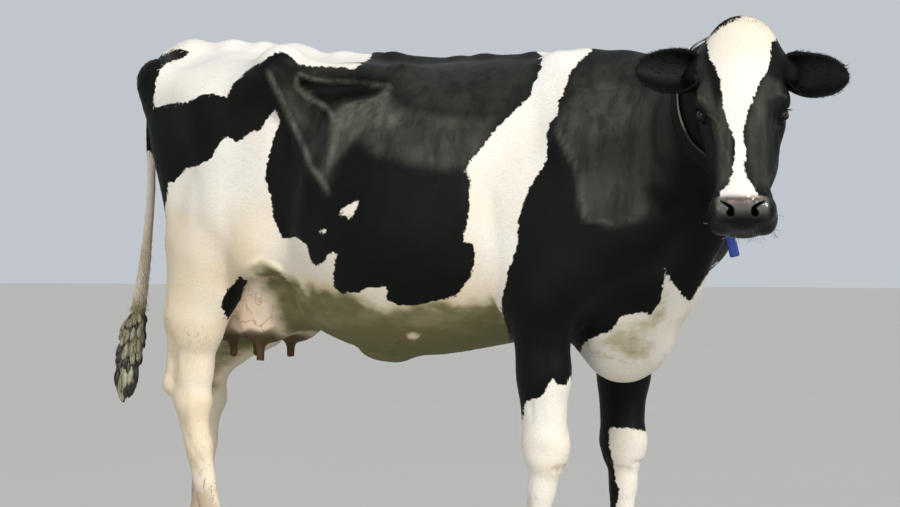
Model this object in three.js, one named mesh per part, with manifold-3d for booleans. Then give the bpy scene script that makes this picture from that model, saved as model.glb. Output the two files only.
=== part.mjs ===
// A standing Holstein-Friesian dairy cow, life size, looking to her right, as separate closed solids.
// Millimetres, +X towards the chest, +Y to the cow's left, +Z up, feet on z = 0.
//
// Each part is flesh blended over named bones. A part's surface is found by casting spokes out
// from an axis inside it, ring by ring, and lofting through the points where they leave the flesh.
import * as THREE from 'three';
import { mergeVertices } from 'three/addons/utils/BufferGeometryUtils.js';
import Module from 'manifold-3d';

const wasm = await Module();
wasm.setup();

// ---- Driving dimensions ------------------------------------------------------------------------

const GAP = 0.3; // clearance between parts that touch
const RUMP_TO_ORIGIN = 1012; // pin bones to the middle of the whole animal, along X
const MIDLINE_TO_ORIGIN = -63; // body's midline to the middle of the whole animal, along Y

// Heights of the backbone's spines; the flesh over them adds about 10
const WITHERS_Z = 1447;
const RUMP_Z = 1510;
const LEG_Y = { fore: 165, hind: 172 }; // half of the distance between a pair of feet
const HOOF = { length: 128, width: 56, toe: 74, heel: 42 };

// Head: where the poll is, how far it is turned to the right, and how steeply the face hangs
const POLL = new THREE.Vector3(1957, -310, 1505);
const HEAD_TURN = 62;
const FACE_FROM_VERTICAL = 22;

const LEFT = 1;
const RIGHT = -1;
const SIDE_NAME = { [LEFT]: 'left', [RIGHT]: 'right' };

// ---- Flesh: distances to blended shapes ----------------------------------------------------------

// The smaller of two distances, with a fillet of the given size where they are alike.
function blend(a, b, fillet) {
  const near = Math.max(fillet - Math.abs(a - b), 0) / fillet;
  return Math.min(a, b) - near * near * fillet / 4;
}

// Flesh round a straight bone from a to b, of radius ra and rb, its width flat times its depth.
function rod(a, b, ra, rb, flat = 1, fillet = 40) {
  const d = [b[0] - a[0], b[1] - a[1], b[2] - a[2]];
  const length2 = d[0] * d[0] + d[1] * d[1] + d[2] * d[2];
  const at = (x, y, z) => {
    const p = [x - a[0], y - a[1], z - a[2]];
    const along = (p[0] * d[0] + p[1] * d[1] + p[2] * d[2]) / length2;
    const t = Math.min(1, Math.max(0, along));
    const e = [p[0] - t * d[0], (p[1] - t * d[1]) / flat, p[2] - t * d[2]];
    const size = Math.hypot(...e) + 1e-6;
    return (size - ra - t * (rb - ra)) * size / (Math.hypot(e[0], e[1] / flat, e[2]) + 1e-6);
  };
  return { at, fillet };
}

// A rounded mass of flesh. Tilt turns it in the side view, nose down, in degrees.
function mass(centre, radii, fillet = 50, tilt = 0) {
  const c = Math.cos(THREE.MathUtils.degToRad(tilt));
  const s = Math.sin(THREE.MathUtils.degToRad(tilt));
  const at = (x, y, z) => {
    const px = x - centre[0];
    const pz = z - centre[2];
    const u = [(c * px - s * pz) / radii[0], (y - centre[1]) / radii[1], (s * px + c * pz) / radii[2]];
    const size = Math.hypot(...u) + 1e-6;
    return size * (size - 1) / (Math.hypot(u[0] / radii[0], u[1] / radii[1], u[2] / radii[2]) + 1e-9);
  };
  return { at, fillet };
}

// A soft rise of the surface, or a hollow where height is negative.
function swell(centre, radii, height) {
  const at = (x, y, z) => {
    const u = [(x - centre[0]) / radii[0], (y - centre[1]) / radii[1], (z - centre[2]) / radii[2]];
    return -height * Math.exp(-u[0] * u[0] - u[1] * u[1] - u[2] * u[2]);
  };
  return { at };
}

// A curve through rows [x, a, b, ...] at x: every column, by cubic interpolation.
function between(rows, x) {
  const last = rows.length - 1;
  let i = 0;
  while (i < last - 1 && x > rows[i + 1][0]) i++;
  const slope = (j, k) => {
    const lo = rows[Math.max(0, j - 1)];
    const hi = rows[Math.min(last, j + 1)];
    return (hi[k] - lo[k]) / (hi[0] - lo[0]);
  };
  const wide = rows[i + 1][0] - rows[i][0];
  const t = Math.min(1, Math.max(0, (x - rows[i][0]) / wide));
  const h = [2 * t ** 3 - 3 * t * t + 1, t ** 3 - 2 * t * t + t, 3 * t * t - 2 * t ** 3, t ** 3 - t * t];
  return rows[i].map((v, k) =>
    h[0] * v + h[1] * wide * slope(i, k) + h[2] * rows[i + 1][k] + h[3] * wide * slope(i + 1, k));
}

// The rib cage and belly, through sections [x, top, bottom, half width, height of the widest, roof].
function barrel(rows, fillet) {
  const first = rows[0][0];
  const end = rows[rows.length - 1][0];
  const at = (x, y, z) => {
    const [, top, bottom, half, widest, roof] = between(rows, Math.min(end, Math.max(first, x)));
    const up = z > widest;
    const tall = up ? top - widest : widest - bottom;
    const power = up ? roof : 2.1;
    const u = Math.abs(y) / half + 1e-6;
    const v = Math.abs(z - widest) / tall + 1e-6;
    const size = (u ** power + v ** power) ** (1 / power);
    const steep = size ** (1 - power) * Math.hypot(u ** (power - 1) / half, v ** (power - 1) / tall);
    const side = (size - 1) / steep;
    const beyond = Math.max(first - x, x - end);
    return side > 0 && beyond > 0 ? Math.hypot(side, beyond) : Math.max(side, beyond);
  };
  return { at, fillet };
}

const both = (make) => [make(LEFT), make(RIGHT)];

// The distance from a point to flesh = { solids, swells }, negative inside; grow makes it larger all round.
function flesh(solids, swells = [], grow = 0) {
  return (x, y, z) => {
    let d = solids[0].at(x, y, z);
    for (let i = 1; i < solids.length; i++) d = blend(d, solids[i].at(x, y, z), solids[i].fillet);
    for (const s of swells) d += s.at(x, y, z);
    return d - grow;
  };
}

// ---- Torso and neck ------------------------------------------------------------------------------

const BARREL = [
  [-40, 1400, 1180, 60, 1300, 2],
  [60, 1468, 1060, 160, 1290, 2],
  [180, 1490, 960, 212, 1260, 1.9],
  [330, 1484, 880, 240, 1230, 1.8],
  [450, 1462, 750, 258, 1150, 2],
  [560, 1458, 688, 290, 1060, 2.2],
  [700, 1450, 652, 345, 1010, 2.3],
  [850, 1434, 645, 372, 1000, 2.3],
  [1000, 1440, 665, 360, 1005, 2.2],
  [1150, 1444, 690, 310, 1020, 2],
  [1300, 1446, 702, 250, 1050, 1.7],
  [1450, 1434, 700, 205, 1070, 1.6],
  [1560, 1400, 730, 160, 1080, 1.7],
  [1630, 1320, 850, 105, 1080, 2],
  [1680, 1200, 960, 40, 1080, 2],
];

// The back's skyline, tail head to neck: [x, height, radius of the ridge]
const SPINE = [
  [-4, 1498, 40], [60, 1512, 40], [190, RUMP_Z, 34], [300, 1500, 28], [385, 1474, 26], [560, 1466, 24],
  [720, 1462, 22], [930, 1444, 22], [1010, 1448, 24], [1170, 1447, 26], [1330, WITHERS_Z, 30],
  [1450, 1437, 34], [1530, 1424, 38],
];

const HOOK = (s) => [522, s * 238, 1418];
const PIN = (s) => [38, s * 138, 1402];
const HIP = (s) => [265, s * 175, 1220];
const SHOULDER = (s) => [1575, s * 166, 985];
const ELBOW = (s) => [1245, s * 192, 800];

const spineRidge = SPINE.slice(1).map(([x, z, r], i) => {
  const [x0, z0, r0] = SPINE[i];
  return rod([x0, 0, z0 - r0], [x, 0, z - r], r0, r, 1, 36);
});

// Hook, pin and thigh; the stifle lies further back on the leg that is set back.
const haunch = (s) => [
  mass(HOOK(s), [66, 46, 44], 60),
  mass(PIN(s), [48, 38, 46], 60),
  rod(HOOK(s), [270, s * 205, 1322], 40, 46, 1, 70),
  rod([270, s * 205, 1322], PIN(s), 46, 36, 1, 70),
  rod(HOOK(s), [400, 0, 1430], 34, 40, 1, 70),
  rod(PIN(s), [40, 0, 1440], 34, 44, 1, 60),
  rod([230, s * 120, 1300], STIFLE[s], 150, 92, 0.72, 80),
  rod([66, s * 136, 1320], [STIFLE[s][0] - 262, s * 160, 990], 60, 78, 0.8, 80),
  rod([478, s * 184, 1344], [STIFLE[s][0] + 60, s * 218, 980], 74, 70, 0.7, 80),
  mass([400, s * 170, 1360], [150, 60, 80], 70),
  rod([STIFLE[s][0] - 130, s * 190, 1000], [STIFLE[s][0] - 180, s * 186, 850], 120, 100, 0.62, 60),
  mass([STIFLE[s][0] + 15, s * 236, 935], [62, 40, 74], 50),
  // front edge of the thigh, hook to flank fold
  rod(HOOK(s), [546, s * 248, 1330], 30, 24, 1, 50),
  rod([546, s * 248, 1330], [606, s * 264, 1225], 24, 20, 1, 50),
  rod([606, s * 264, 1225], [668, s * 290, 1110], 20, 18, 1, 50),
  rod([668, s * 290, 1110], [640, s * 266, 960], 18, 30, 1, 60),
];

// Short ribs over the flank, last rib, shoulder blade, point of shoulder and elbow
const flankAndShoulder = (s) => [
  rod([560, s * 170, 1388], [850, s * 160, 1374], 40, 38, 1, 60),
  rod([860, s * 176, 1390], [880, s * 318, 1200], 18, 16, 1, 60),
  rod([1290, s * 78, 1400], [1420, s * 168, 1200], 46, 62, 0.7, 70),
  rod([1420, s * 168, 1200], SHOULDER(s), 62, 70, 0.75, 110),
  mass([1340, s * 172, 985], [165, 82, 190], 90, 20),
  mass([1540, s * 92, 1060], [125, 84, 180], 110),
  rod(SHOULDER(s), [1330, s * 190, 830], 66, 80, 0.8, 90),
  mass(ELBOW(s), [40, 30, 46], 40),
];

const chest = [
  mass([1452, 0, 742], [146, 90, 164], 80, 20),
  rod([1500, 0, 960], [1560, 0, 900], 150, 112, 0.75, 80),
  // sheath of skin under the navel
  mass([700, 0, 650], [70, 22, 28], 50),
];

const neckFlesh = [
  rod([1350, 0, 1336], [1640, -62, 1360], 90, 66, 0.85, 70),
  rod([1640, -62, 1360], [1895, -250, 1410], 66, 58, 0.85, 70),
  rod([1470, 0, 1180], [1735, -100, 1250], 172, 122, 0.86, 90),
  rod([1735, -100, 1250], [1890, -240, 1352], 122, 96, 0.86, 90),
  rod([1540, 0, 990], [1690, -58, 1120], 128, 88, 0.76, 90),
  rod([1690, -58, 1120], [1840, -190, 1306], 88, 66, 0.76, 80),
  // dewlap
  rod([1600, 0, 800], [1712, -28, 970], 36, 24, 0.7, 70),
  rod([1712, -28, 970], [1800, -120, 1080], 26, 26, 0.7, 60),
  rod([1800, -120, 1080], [1862, -192, 1240], 26, 20, 0.7, 60),
];

const torsoSwells = [
  ...both((s) => swell([706, s * 236, 1336], [112, 90, 44], -40)), // hollow of the flank
  ...both((s) => swell([560, s * 262, 1195], [60, 90, 110], -10)),
  ...both((s) => swell([150, s * 130, 1470], [90, 60, 60], -16)), // beside the tail head
  ...both((s) => swell([1180, s * 250, 1130], [70, 120, 190], -14)), // behind the shoulder
  ...both((s) => swell([1500, s * 200, 1190], [90, 100, 110], -10)), // before the shoulder blade
];

// ---- Legs ----------------------------------------------------------------------------------------

// The right hind leg stands forward and the left one back.
const STIFLE = { [RIGHT]: [432, -222, 925], [LEFT]: [392, 222, 915] };
const HOCK = { [RIGHT]: [170, -172, 528], [LEFT]: [-22, 172, 528] };
const HIND_FETLOCK = { [RIGHT]: [247, -172, 162], [LEFT]: [-38, 172, 162] };
const KNEE = { [RIGHT]: [1304, -165, 405], [LEFT]: [1352, 160, 405] };
const FORE_FETLOCK = { [RIGHT]: [1268, -163, 158], [LEFT]: [1350, 158, 158] };

const toward = (a, b, t) => a.map((v, i) => v + t * (b[i] - v));
const beside = (p, dx, dy, dz) => [p[0] + dx, p[1] + dy, p[2] + dz];

// Fetlock and pastern, which runs down into the hooves
const foot = (fetlock) => [
  mass(fetlock, [41, 36, 42], 24),
  mass(beside(fetlock, -22, 0, -16), [26, 30, 30], 20),
  rod(beside(fetlock, 6, 0, -16), beside(fetlock, 40, 0, -86), 31, 36, 1.35, 20),
];

const hindLeg = (s) => {
  const hock = HOCK[s];
  const fetlock = HIND_FETLOCK[s];
  const gaskin = [STIFLE[s][0] - 236, s * 186, 742];
  const thigh = [STIFLE[s][0] - 175, s * 190, 900];
  return [
    rod(thigh, gaskin, 116, 84, 0.62, 40),
    rod([STIFLE[s][0] - 264, s * 172, 930], beside(gaskin, -8, 0, 10), 78, 80, 0.62, 40),
    rod(gaskin, beside(hock, 6, 0, 78), 84, 58, 0.64, 40),
    rod(beside(hock, 6, 0, 78), beside(hock, 8, 0, -6), 58, 56, 0.76, 30),
    rod(beside(gaskin, -66, 0, 10), beside(hock, -68, 0, 26), 22, 21, 0.8, 26), // great tendon
    rod(beside(hock, -6, 0, -6), beside(hock, -66, 0, 32), 34, 25, 0.85, 26), // point of hock
    rod(beside(hock, 6, 0, -30), toward(hock, fetlock, 0.38), 46, 34, 0.76, 30),
    rod(toward(hock, fetlock, 0.38), toward(hock, fetlock, 0.95), 34, 32, 0.74, 26),
    rod(beside(hock, -24, 0, -60), beside(fetlock, -20, 0, 30), 18, 16, 0.9, 16), // flexor tendons
    ...foot(fetlock),
  ];
};

const foreLeg = (s) => {
  const knee = KNEE[s];
  const fetlock = FORE_FETLOCK[s];
  const top = [1300 + (knee[0] - 1300) * 0.4, s * 186, 790];
  return [
    rod(top, beside(knee, -2, s * 8, 200), 96, 64, 0.78, 40),
    rod(beside(knee, -2, s * 8, 200), beside(knee, 0, 0, 50), 64, 54, 0.86, 40),
    rod(beside(knee, -34, s * 6, 330), beside(knee, -40, 0, 20), 44, 24, 0.9, 30),
    mass(knee, [61, 54, 60], 30),
    mass(beside(knee, -44, s * 3, 12), [24, 24, 30], 20),
    rod(beside(knee, 0, 0, -26), toward(knee, fetlock, 0.4), 50, 33, 0.86, 30),
    rod(toward(knee, fetlock, 0.4), toward(knee, fetlock, 0.95), 33, 31, 0.84, 26),
    rod(beside(knee, -30, 0, -70), beside(fetlock, -22, 0, 30), 15, 15, 0.9, 14),
    ...foot(fetlock),
  ];
};

// ---- Udder ---------------------------------------------------------------------------------------

const TEATS = [[334, 74, 626], [334, -74, 611], [232, 56, 632], [232, -56, 632]];
const TEAT_LENGTH = 68;

const udderFlesh = [
  mass([300, 0, 880], [205, 120, 110], 60),
  ...both((s) => mass([352, s * 68, 790], [112, 78, 118], 30)),
  ...both((s) => mass([205, s * 60, 800], [104, 72, 122], 40)),
  rod([190, 0, 800], [370, 0, 790], 96, 90, 1, 40),
  rod([380, 0, 820], [500, 0, 780], 90, 60, 1.5, 60),
];

// ---- Head, in its own frame: +X down the face from the poll, +Y to the cow's left, +Z out of it --

const EYE = { at: (s) => [238, s * 92, -62], radius: 21 };
const EAR_ROOT = (s) => [112, s * 112, -94];
const EAR = { middle: (s) => [111 + 8 * s, s * 189, -90], length: 172, width: 124, depth: 52 };
const MUZZLE_HALF = 82;

const headFlesh = [
  mass([96, 0, -74], [108, 86, 76], 50),
  mass([34, 0, -50], [58, 70, 50], 40),
  mass([156, 0, -42], [150, 98, 42], 50),
  ...both((s) => mass([204, s * 84, -46], [42, 38, 28], 30)), // brow
  ...both((s) => rod([250, s * 76, -90], [356, s * 54, -100], 25, 20, 1, 44)), // cheek bone
  rod([200, 0, -56], [476, 0, -44], 56, 40, 1.06, 50), // bridge of the nose
  rod([250, 0, -106], [450, 0, -82], 84, 62, 0.98, 60), // upper jaw
  ...both((s) => mass([182, s * 66, -136], [90, 36, 84], 50, 12)), // chewing muscle
  ...both((s) => rod([146, s * 60, -186], [330, s * 40, -164], 38, 34, 1, 50)),
  ...both((s) => rod([330, s * 40, -164], [492, s * 20, -120], 34, 26, 1, 50)), // lower jaw
  mass([494, 0, -112], [42, 54, 28], 26), // chin and lower lip
  mass([478, 0, -66], [60, MUZZLE_HALF - 4, 50], 36),
  ...both((s) => mass([496, s * 50, -50], [32, 32, 36], 24)), // nostril wings
  ...both((s) => mass([486, s * 40, -88], [46, 34, 24], 20)), // upper lip
  ...both((s) => rod([92, s * 56, -90], EAR_ROOT(s), 58, 36, 1, 44)), // root of the ear
];

const headSwells = [
  ...both((s) => swell([240, s * 108, -62], [32, 34, 26], -11)), // eye socket
  ...both((s) => swell([300, s * 92, -66], [56, 34, 26], -8)),
  ...both((s) => swell([150, s * 98, -84], [36, 26, 34], -8)),
  swell([300, 0, 6], [80, 40, 30], -4),
  ...both((s) => swell([420, s * 78, -96], [46, 30, 34], -6)),
];

// ---- From flesh to closed meshes -----------------------------------------------------------------

// How far a spoke runs from inside the flesh to its surface.
function reach(field, from, way, farthest = 900) {
  let inside = 0;
  let outside = 0;
  while (outside < farthest) {
    const d = field(from.x + way.x * outside, from.y + way.y * outside, from.z + way.z * outside);
    if (d >= 0) break;
    inside = outside;
    outside += Math.max(3, -0.8 * d);
  }
  for (let i = 0; i < 14; i++) {
    const middle = (inside + outside) / 2;
    const d = field(from.x + way.x * middle, from.y + way.y * middle, from.z + way.z * middle);
    if (d < 0) inside = middle;
    else outside = middle;
  }
  return inside;
}

// Rings of points on the flesh round an axis. A fan of rings closes each rounded end.
// Crowd draws the spokes together on the upper side.
function ringsOn(field, { axis, rings, spokes, up, fans = [4, 4], crowd = 0 }) {
  const curve = new THREE.CatmullRomCurve3(axis.map((p) => new THREE.Vector3(...p)), false, 'centripetal');
  const wheel = (u, pointAt) => {
    const from = curve.getPointAt(u);
    const ahead = curve.getTangentAt(u);
    const upright = up.clone().addScaledVector(ahead, -up.dot(ahead)).normalize();
    const across = ahead.clone().cross(upright);
    return Array.from({ length: spokes }, (_, i) => {
      const even = (i + 0.5) * 2 * Math.PI / spokes;
      const angle = even - crowd * Math.sin(even);
      const way = upright.clone().multiplyScalar(Math.cos(angle)).addScaledVector(across, Math.sin(angle));
      return pointAt(from, way, ahead);
    });
  };
  const cast = (u, lean) => wheel(u, (from, way, ahead) => {
    way.multiplyScalar(Math.cos(lean)).addScaledVector(ahead, Math.sin(lean));
    return from.clone().addScaledVector(way, reach(field, from, way));
  });
  const lean = (i, fan) => THREE.MathUtils.degToRad(82 * i / fan);
  return [
    ...Array.from({ length: fans[0] }, (_, i) => cast(0, -lean(fans[0] - i, fans[0]))),
    ...Array.from({ length: rings + 1 }, (_, i) => cast(i / rings, 0)),
    ...Array.from({ length: fans[1] }, (_, i) => cast(1, lean(i + 1, fans[1]))),
  ];
}

// A closed surface through rings of equally many points. Its ends are closed round their middles,
// or are joined to each other where it is endless.
function loftGeometry(sections, endless = false) {
  const count = sections[0].length;
  const middle = (ring) => ring.reduce((sum, p) => sum.add(p), new THREE.Vector3()).divideScalar(count);
  const points = sections.flat();
  if (!endless) points.push(middle(sections[0]), middle(sections[sections.length - 1]));
  const last = (sections.length - 1) * count;
  const index = [];
  for (let i = 0; i < count; i++) {
    const j = (i + 1) % count;
    if (!endless) index.push(points.length - 2, j, i, points.length - 1, last + i, last + j);
    for (let k = 0; k < (endless ? last + count : last); k += count) {
      const next = (k + count) % (last + count);
      index.push(k + i, k + j, next + j, k + i, next + j, next + i);
    }
  }
  const geometry = new THREE.BufferGeometry().setFromPoints(points);
  geometry.setIndex(index);
  return geometry;
}

// A manifold-3d solid from a three.js geometry.
function solidOf(geometry) {
  const bare = new THREE.BufferGeometry();
  bare.setAttribute('position', geometry.attributes.position);
  bare.setIndex(geometry.index);
  const merged = mergeVertices(bare, 1e-3);
  return new wasm.Manifold(new wasm.Mesh({
    numProp: 3,
    vertProperties: merged.attributes.position.array,
    triVerts: new Uint32Array(merged.index.array),
  }));
}

const loft = (sections) => solidOf(loftGeometry(sections));
const wrap = (solids, swells, grow, frame) => loft(ringsOn(flesh(solids, swells, grow), frame));

// The largest closed piece of a solid.
const largest = (solid) => solid.decompose().sort((a, b) => b.volume() - a.volume())[0];

function meshOf(name, solid, material) {
  const { numProp, numVert, vertProperties, triVerts } = largest(solid).getMesh();
  const points = new Float32Array(numVert * 3);
  for (let i = 0; i < numVert; i++) {
    points.set(vertProperties.subarray(i * numProp, i * numProp + 3), i * 3);
  }
  const geometry = new THREE.BufferGeometry();
  geometry.setAttribute('position', new THREE.BufferAttribute(points, 3));
  geometry.setIndex(new THREE.BufferAttribute(new Uint32Array(triVerts), 1));
  geometry.computeVertexNormals();
  const mesh = new THREE.Mesh(geometry, material);
  mesh.name = name;
  return mesh;
}

// ---- Materials -----------------------------------------------------------------------------------

const paint = (color, roughness) => new THREE.MeshStandardMaterial({ color, roughness, metalness: 0 });
const HIDE_WHITE = paint('#e9e2d4', 0.75);
const HIDE_BLACK = paint('#17161a', 0.6);
const UDDER_PINK = paint('#d9aa92', 0.6);
const HORN = paint('#3b352c', 0.45);
const EYE_DARK = paint('#120c08', 0.08);
const TAIL_HAIR = paint('#5c5247', 0.8);
const STRAP = paint('#8f8a80', 0.7);
const TAG_BLUE = paint('#123a9c', 0.4);

// ---- Assembly ------------------------------------------------------------------------------------

const UP = new THREE.Vector3(0, 0, 1);
const FORWARD = new THREE.Vector3(1, 0, 0);
const cow = new THREE.Group();
cow.position.set(-RUMP_TO_ORIGIN, -MIDLINE_TO_ORIGIN, 0);
const add = (name, solid, material) => cow.add(meshOf(name, solid, material));

// Head frame to body frame
const turn = THREE.MathUtils.degToRad(HEAD_TURN);
const droop = THREE.MathUtils.degToRad(90 - FACE_FROM_VERTICAL);
const headFrame = new THREE.Matrix4()
  .makeTranslation(POLL)
  .multiply(new THREE.Matrix4().makeRotationZ(-turn))
  .multiply(new THREE.Matrix4().makeRotationY(droop));
const inBody = (solid) => solid.transform(headFrame.elements);

// A ball or egg, turned by Euler angles in degrees
function egg(centre, radii, turnBy = [0, 0, 0], detail = 16) {
  const geometry = new THREE.SphereGeometry(1, detail, Math.round(detail * 0.7));
  geometry.scale(...radii);
  geometry.rotateX(THREE.MathUtils.degToRad(turnBy[0]));
  geometry.rotateY(THREE.MathUtils.degToRad(turnBy[1]));
  geometry.rotateZ(THREE.MathUtils.degToRad(turnBy[2]));
  geometry.translate(...centre);
  return solidOf(geometry);
}

// A limb of oval section along a curve. Rows [u, radius] give its size, wide points across its broad
// side and flat is its thickness over its width.
function tube(path, radii, rings, spokes, wide, flat = 1) {
  const curve = new THREE.CatmullRomCurve3(path.map((p) => new THREE.Vector3(...p)), false, 'centripetal');
  const sections = Array.from({ length: rings + 1 }, (_, i) => {
    const at = curve.getPointAt(i / rings);
    const ahead = curve.getTangentAt(i / rings);
    const across = wide.clone().addScaledVector(ahead, -wide.dot(ahead)).normalize();
    const over = ahead.clone().cross(across);
    const r = between(radii, i / rings)[1];
    return Array.from({ length: spokes }, (_, k) => {
      const angle = k * 2 * Math.PI / spokes;
      const point = at.clone().addScaledVector(across, r * Math.cos(angle));
      return point.addScaledVector(over, r * flat * Math.sin(angle));
    });
  });
  return loft(sections);
}

// Short locks on the poll. They start at its middle and lie down over its sides.
const POLL_LOCKS = { right: 5, left: 3, width: 14, sweep: 30 };
function pollLocks() {
  const inHead = flesh(headFlesh, headSwells);
  const centre = new THREE.Vector3(66, 0, -62);
  const locks = [];
  for (let i = 0; i < POLL_LOCKS.right + POLL_LOCKS.left; i++) {
    const s = i < POLL_LOCKS.right ? RIGHT : LEFT;
    const place = s === RIGHT ? i : i - POLL_LOCKS.right;
    const start = s === RIGHT ? 2 + 9 * place : 14 + 9 * place;
    const path = [-9, 2, 5, 6].map((height, k) => {
      const angle = s * THREE.MathUtils.degToRad(start + POLL_LOCKS.sweep * k / 3);
      const lean = 0.5 * ((place * 7) % 5) / 4 - 0.45;
      const way = new THREE.Vector3(-Math.cos(angle), Math.sin(angle), lean - 0.05 * k).normalize();
      return centre.clone().addScaledVector(way, reach(inHead, centre, way) + height).toArray();
    });
    locks.push(tube(path, [[0, 0.8], [0.4, 1], [1, 0.25]].map(([u, r]) => [u, r * POLL_LOCKS.width]), 3, 4,
      new THREE.Vector3(0.2, 0, 1), 0.42));
  }
  return locks;
}

// Torso and neck are one skin, parted at a ring.
const bodySolids = [
  barrel(BARREL, 60), ...spineRidge, ...chest, ...neckFlesh,
  ...both(haunch).flat(), ...both(flankAndShoulder).flat(),
];
const bodyAxis = {
  axis: [
    [150, 0, 1235], [420, 0, 1150], [850, 0, 1050], [1180, 0, 1050], [1420, -4, 1090],
    [1590, -34, 1150], [1740, -106, 1232], [1880, -236, 1350],
  ],
  rings: 43,
  spokes: 38,
  crowd: 0.1,
  up: UP,
  fans: [8, 2],
};
const NECK_RING = 8 + 34;
const bodyRings = ringsOn(flesh(bodySolids, torsoSwells), bodyAxis);
const grownBody = wrap(bodySolids, torsoSwells, GAP, bodyAxis);
const torso = loft(bodyRings.slice(0, NECK_RING + 1));
const neckFirst = bodyRings[NECK_RING];
const seamWay = bodyRings[NECK_RING + 1][0].clone().sub(neckFirst[0]).normalize();
const neckStart = neckFirst.map((p) => p.clone().addScaledVector(seamWay, GAP));
const neckRings = [neckStart, ...bodyRings.slice(NECK_RING + 1)];

// Head
const headAxis = {
  axis: [[96, 0, -88], [180, 0, -100], [320, 0, -96], [470, 0, -80]],
  rings: 20,
  spokes: 30,
  up: UP,
  fans: [4, 6],
};
const headSolid = wrap(headFlesh, headSwells, 0, headAxis);
const grownHead = inBody(wrap(headFlesh, headSwells, GAP, headAxis));

// Lids: a flattened ring round each eyeball
function lids(s) {
  const ring = new THREE.TorusGeometry(EYE.radius - 2, 5.5, 5, 14);
  ring.scale(1.12, 0.78, 1);
  ring.rotateX(THREE.MathUtils.degToRad(-s * 62));
  ring.translate(EYE.at(s)[0], EYE.at(s)[1] + s * 10, EYE.at(s)[2] + 5);
  return solidOf(ring);
}

// Mouth: a thin cut between the lips, as deep as the skin below it
const MOUTH = { front: 560, corner: 428, dip: 8, open: 3, deep: 8 };
const mouthSlab = new THREE.BoxGeometry(MOUTH.front - MOUTH.corner, 220, MOUTH.open);
mouthSlab.rotateY(THREE.MathUtils.degToRad(-MOUTH.dip));
mouthSlab.translate((MOUTH.front + MOUTH.corner) / 2, 0, -97);
const mouth = solidOf(mouthSlab).subtract(wrap(headFlesh, headSwells, -MOUTH.deep, headAxis));

// Nostril: a round hole near the middle of the muzzle, with a slit that runs up and outwards
const nostril = (s) => [
  egg([522, s * 31, -37], [22, 12, 15], [0, -30, 0], 9),
  egg([508, s * 45, -22], [20, 16, 7], [s * 34, -30, 0], 8),
];

let head = headSolid.subtract(mouth);
for (const s of [LEFT, RIGHT]) {
  const [x, y, z] = EYE.at(s);
  const ball = (radius) => egg([x, y, z], [radius, radius, radius], [0, 0, 0], 12);
  head = head.add(lids(s)).subtract(ball(EYE.radius + GAP));
  for (const hole of nostril(s)) head = head.subtract(hole);
  add(`eye_${SIDE_NAME[s]}`, inBody(ball(EYE.radius)), EYE_DARK);
}
const pollHair = pollLocks().map((lock) => inBody(lock).subtract(grownBody));
add('head', pollHair.reduce((sum, lock) => sum.add(lock), inBody(head)), HIDE_BLACK);

// Ear: a leaf, broad at its root and blunt at its tip, hollowed from the front
function ear(s) {
  const leaf = (length, width, depth, shift) => {
    const geometry = new THREE.SphereGeometry(1, 12, 9);
    const points = geometry.attributes.position;
    for (let i = 0; i < points.count; i++) {
      const along = points.getY(i);
      const broad = 1 - 0.16 * along - 0.1 * along * along;
      const across = points.getX(i) * width / 2 * broad;
      points.setXYZ(i, across, along * length / 2, points.getZ(i) * depth / 2 * broad);
    }
    if (s === RIGHT) geometry.rotateX(Math.PI);
    geometry.translate(...EAR.middle(s));
    geometry.translate(0, s * shift[1], shift[2]);
    return solidOf(geometry);
  };
  const scoop = leaf(EAR.length - 16, EAR.width - 18, EAR.depth * 1.15, [0, 2, 16]);
  return leaf(EAR.length, EAR.width, EAR.depth, [0, 0, 0]).subtract(scoop);
}
add('ear_left', inBody(ear(LEFT)).subtract(grownHead), HIDE_BLACK);
add('ear_right', inBody(ear(RIGHT)).subtract(grownHead), HIDE_BLACK);

add('neck', loft(neckRings).subtract(grownHead), HIDE_BLACK);
add('torso', torso, HIDE_WHITE);

// Tail
const SIDEWAYS = new THREE.Vector3(0, 1, 0);
const TAIL = [
  [30, 0, 1466], [-44, 0, 1452], [-82, -2, 1390], [-92, -6, 1250], [-90, -10, 1100], [-98, -28, 900],
  [-108, -42, 760],
];
const TAIL_SIZES = [[0, 34], [0.12, 32], [0.3, 19], [0.6, 16], [1, 13]];
add('tail', tube(TAIL, TAIL_SIZES, 16, 8, SIDEWAYS).subtract(grownBody), HIDE_WHITE);

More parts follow.
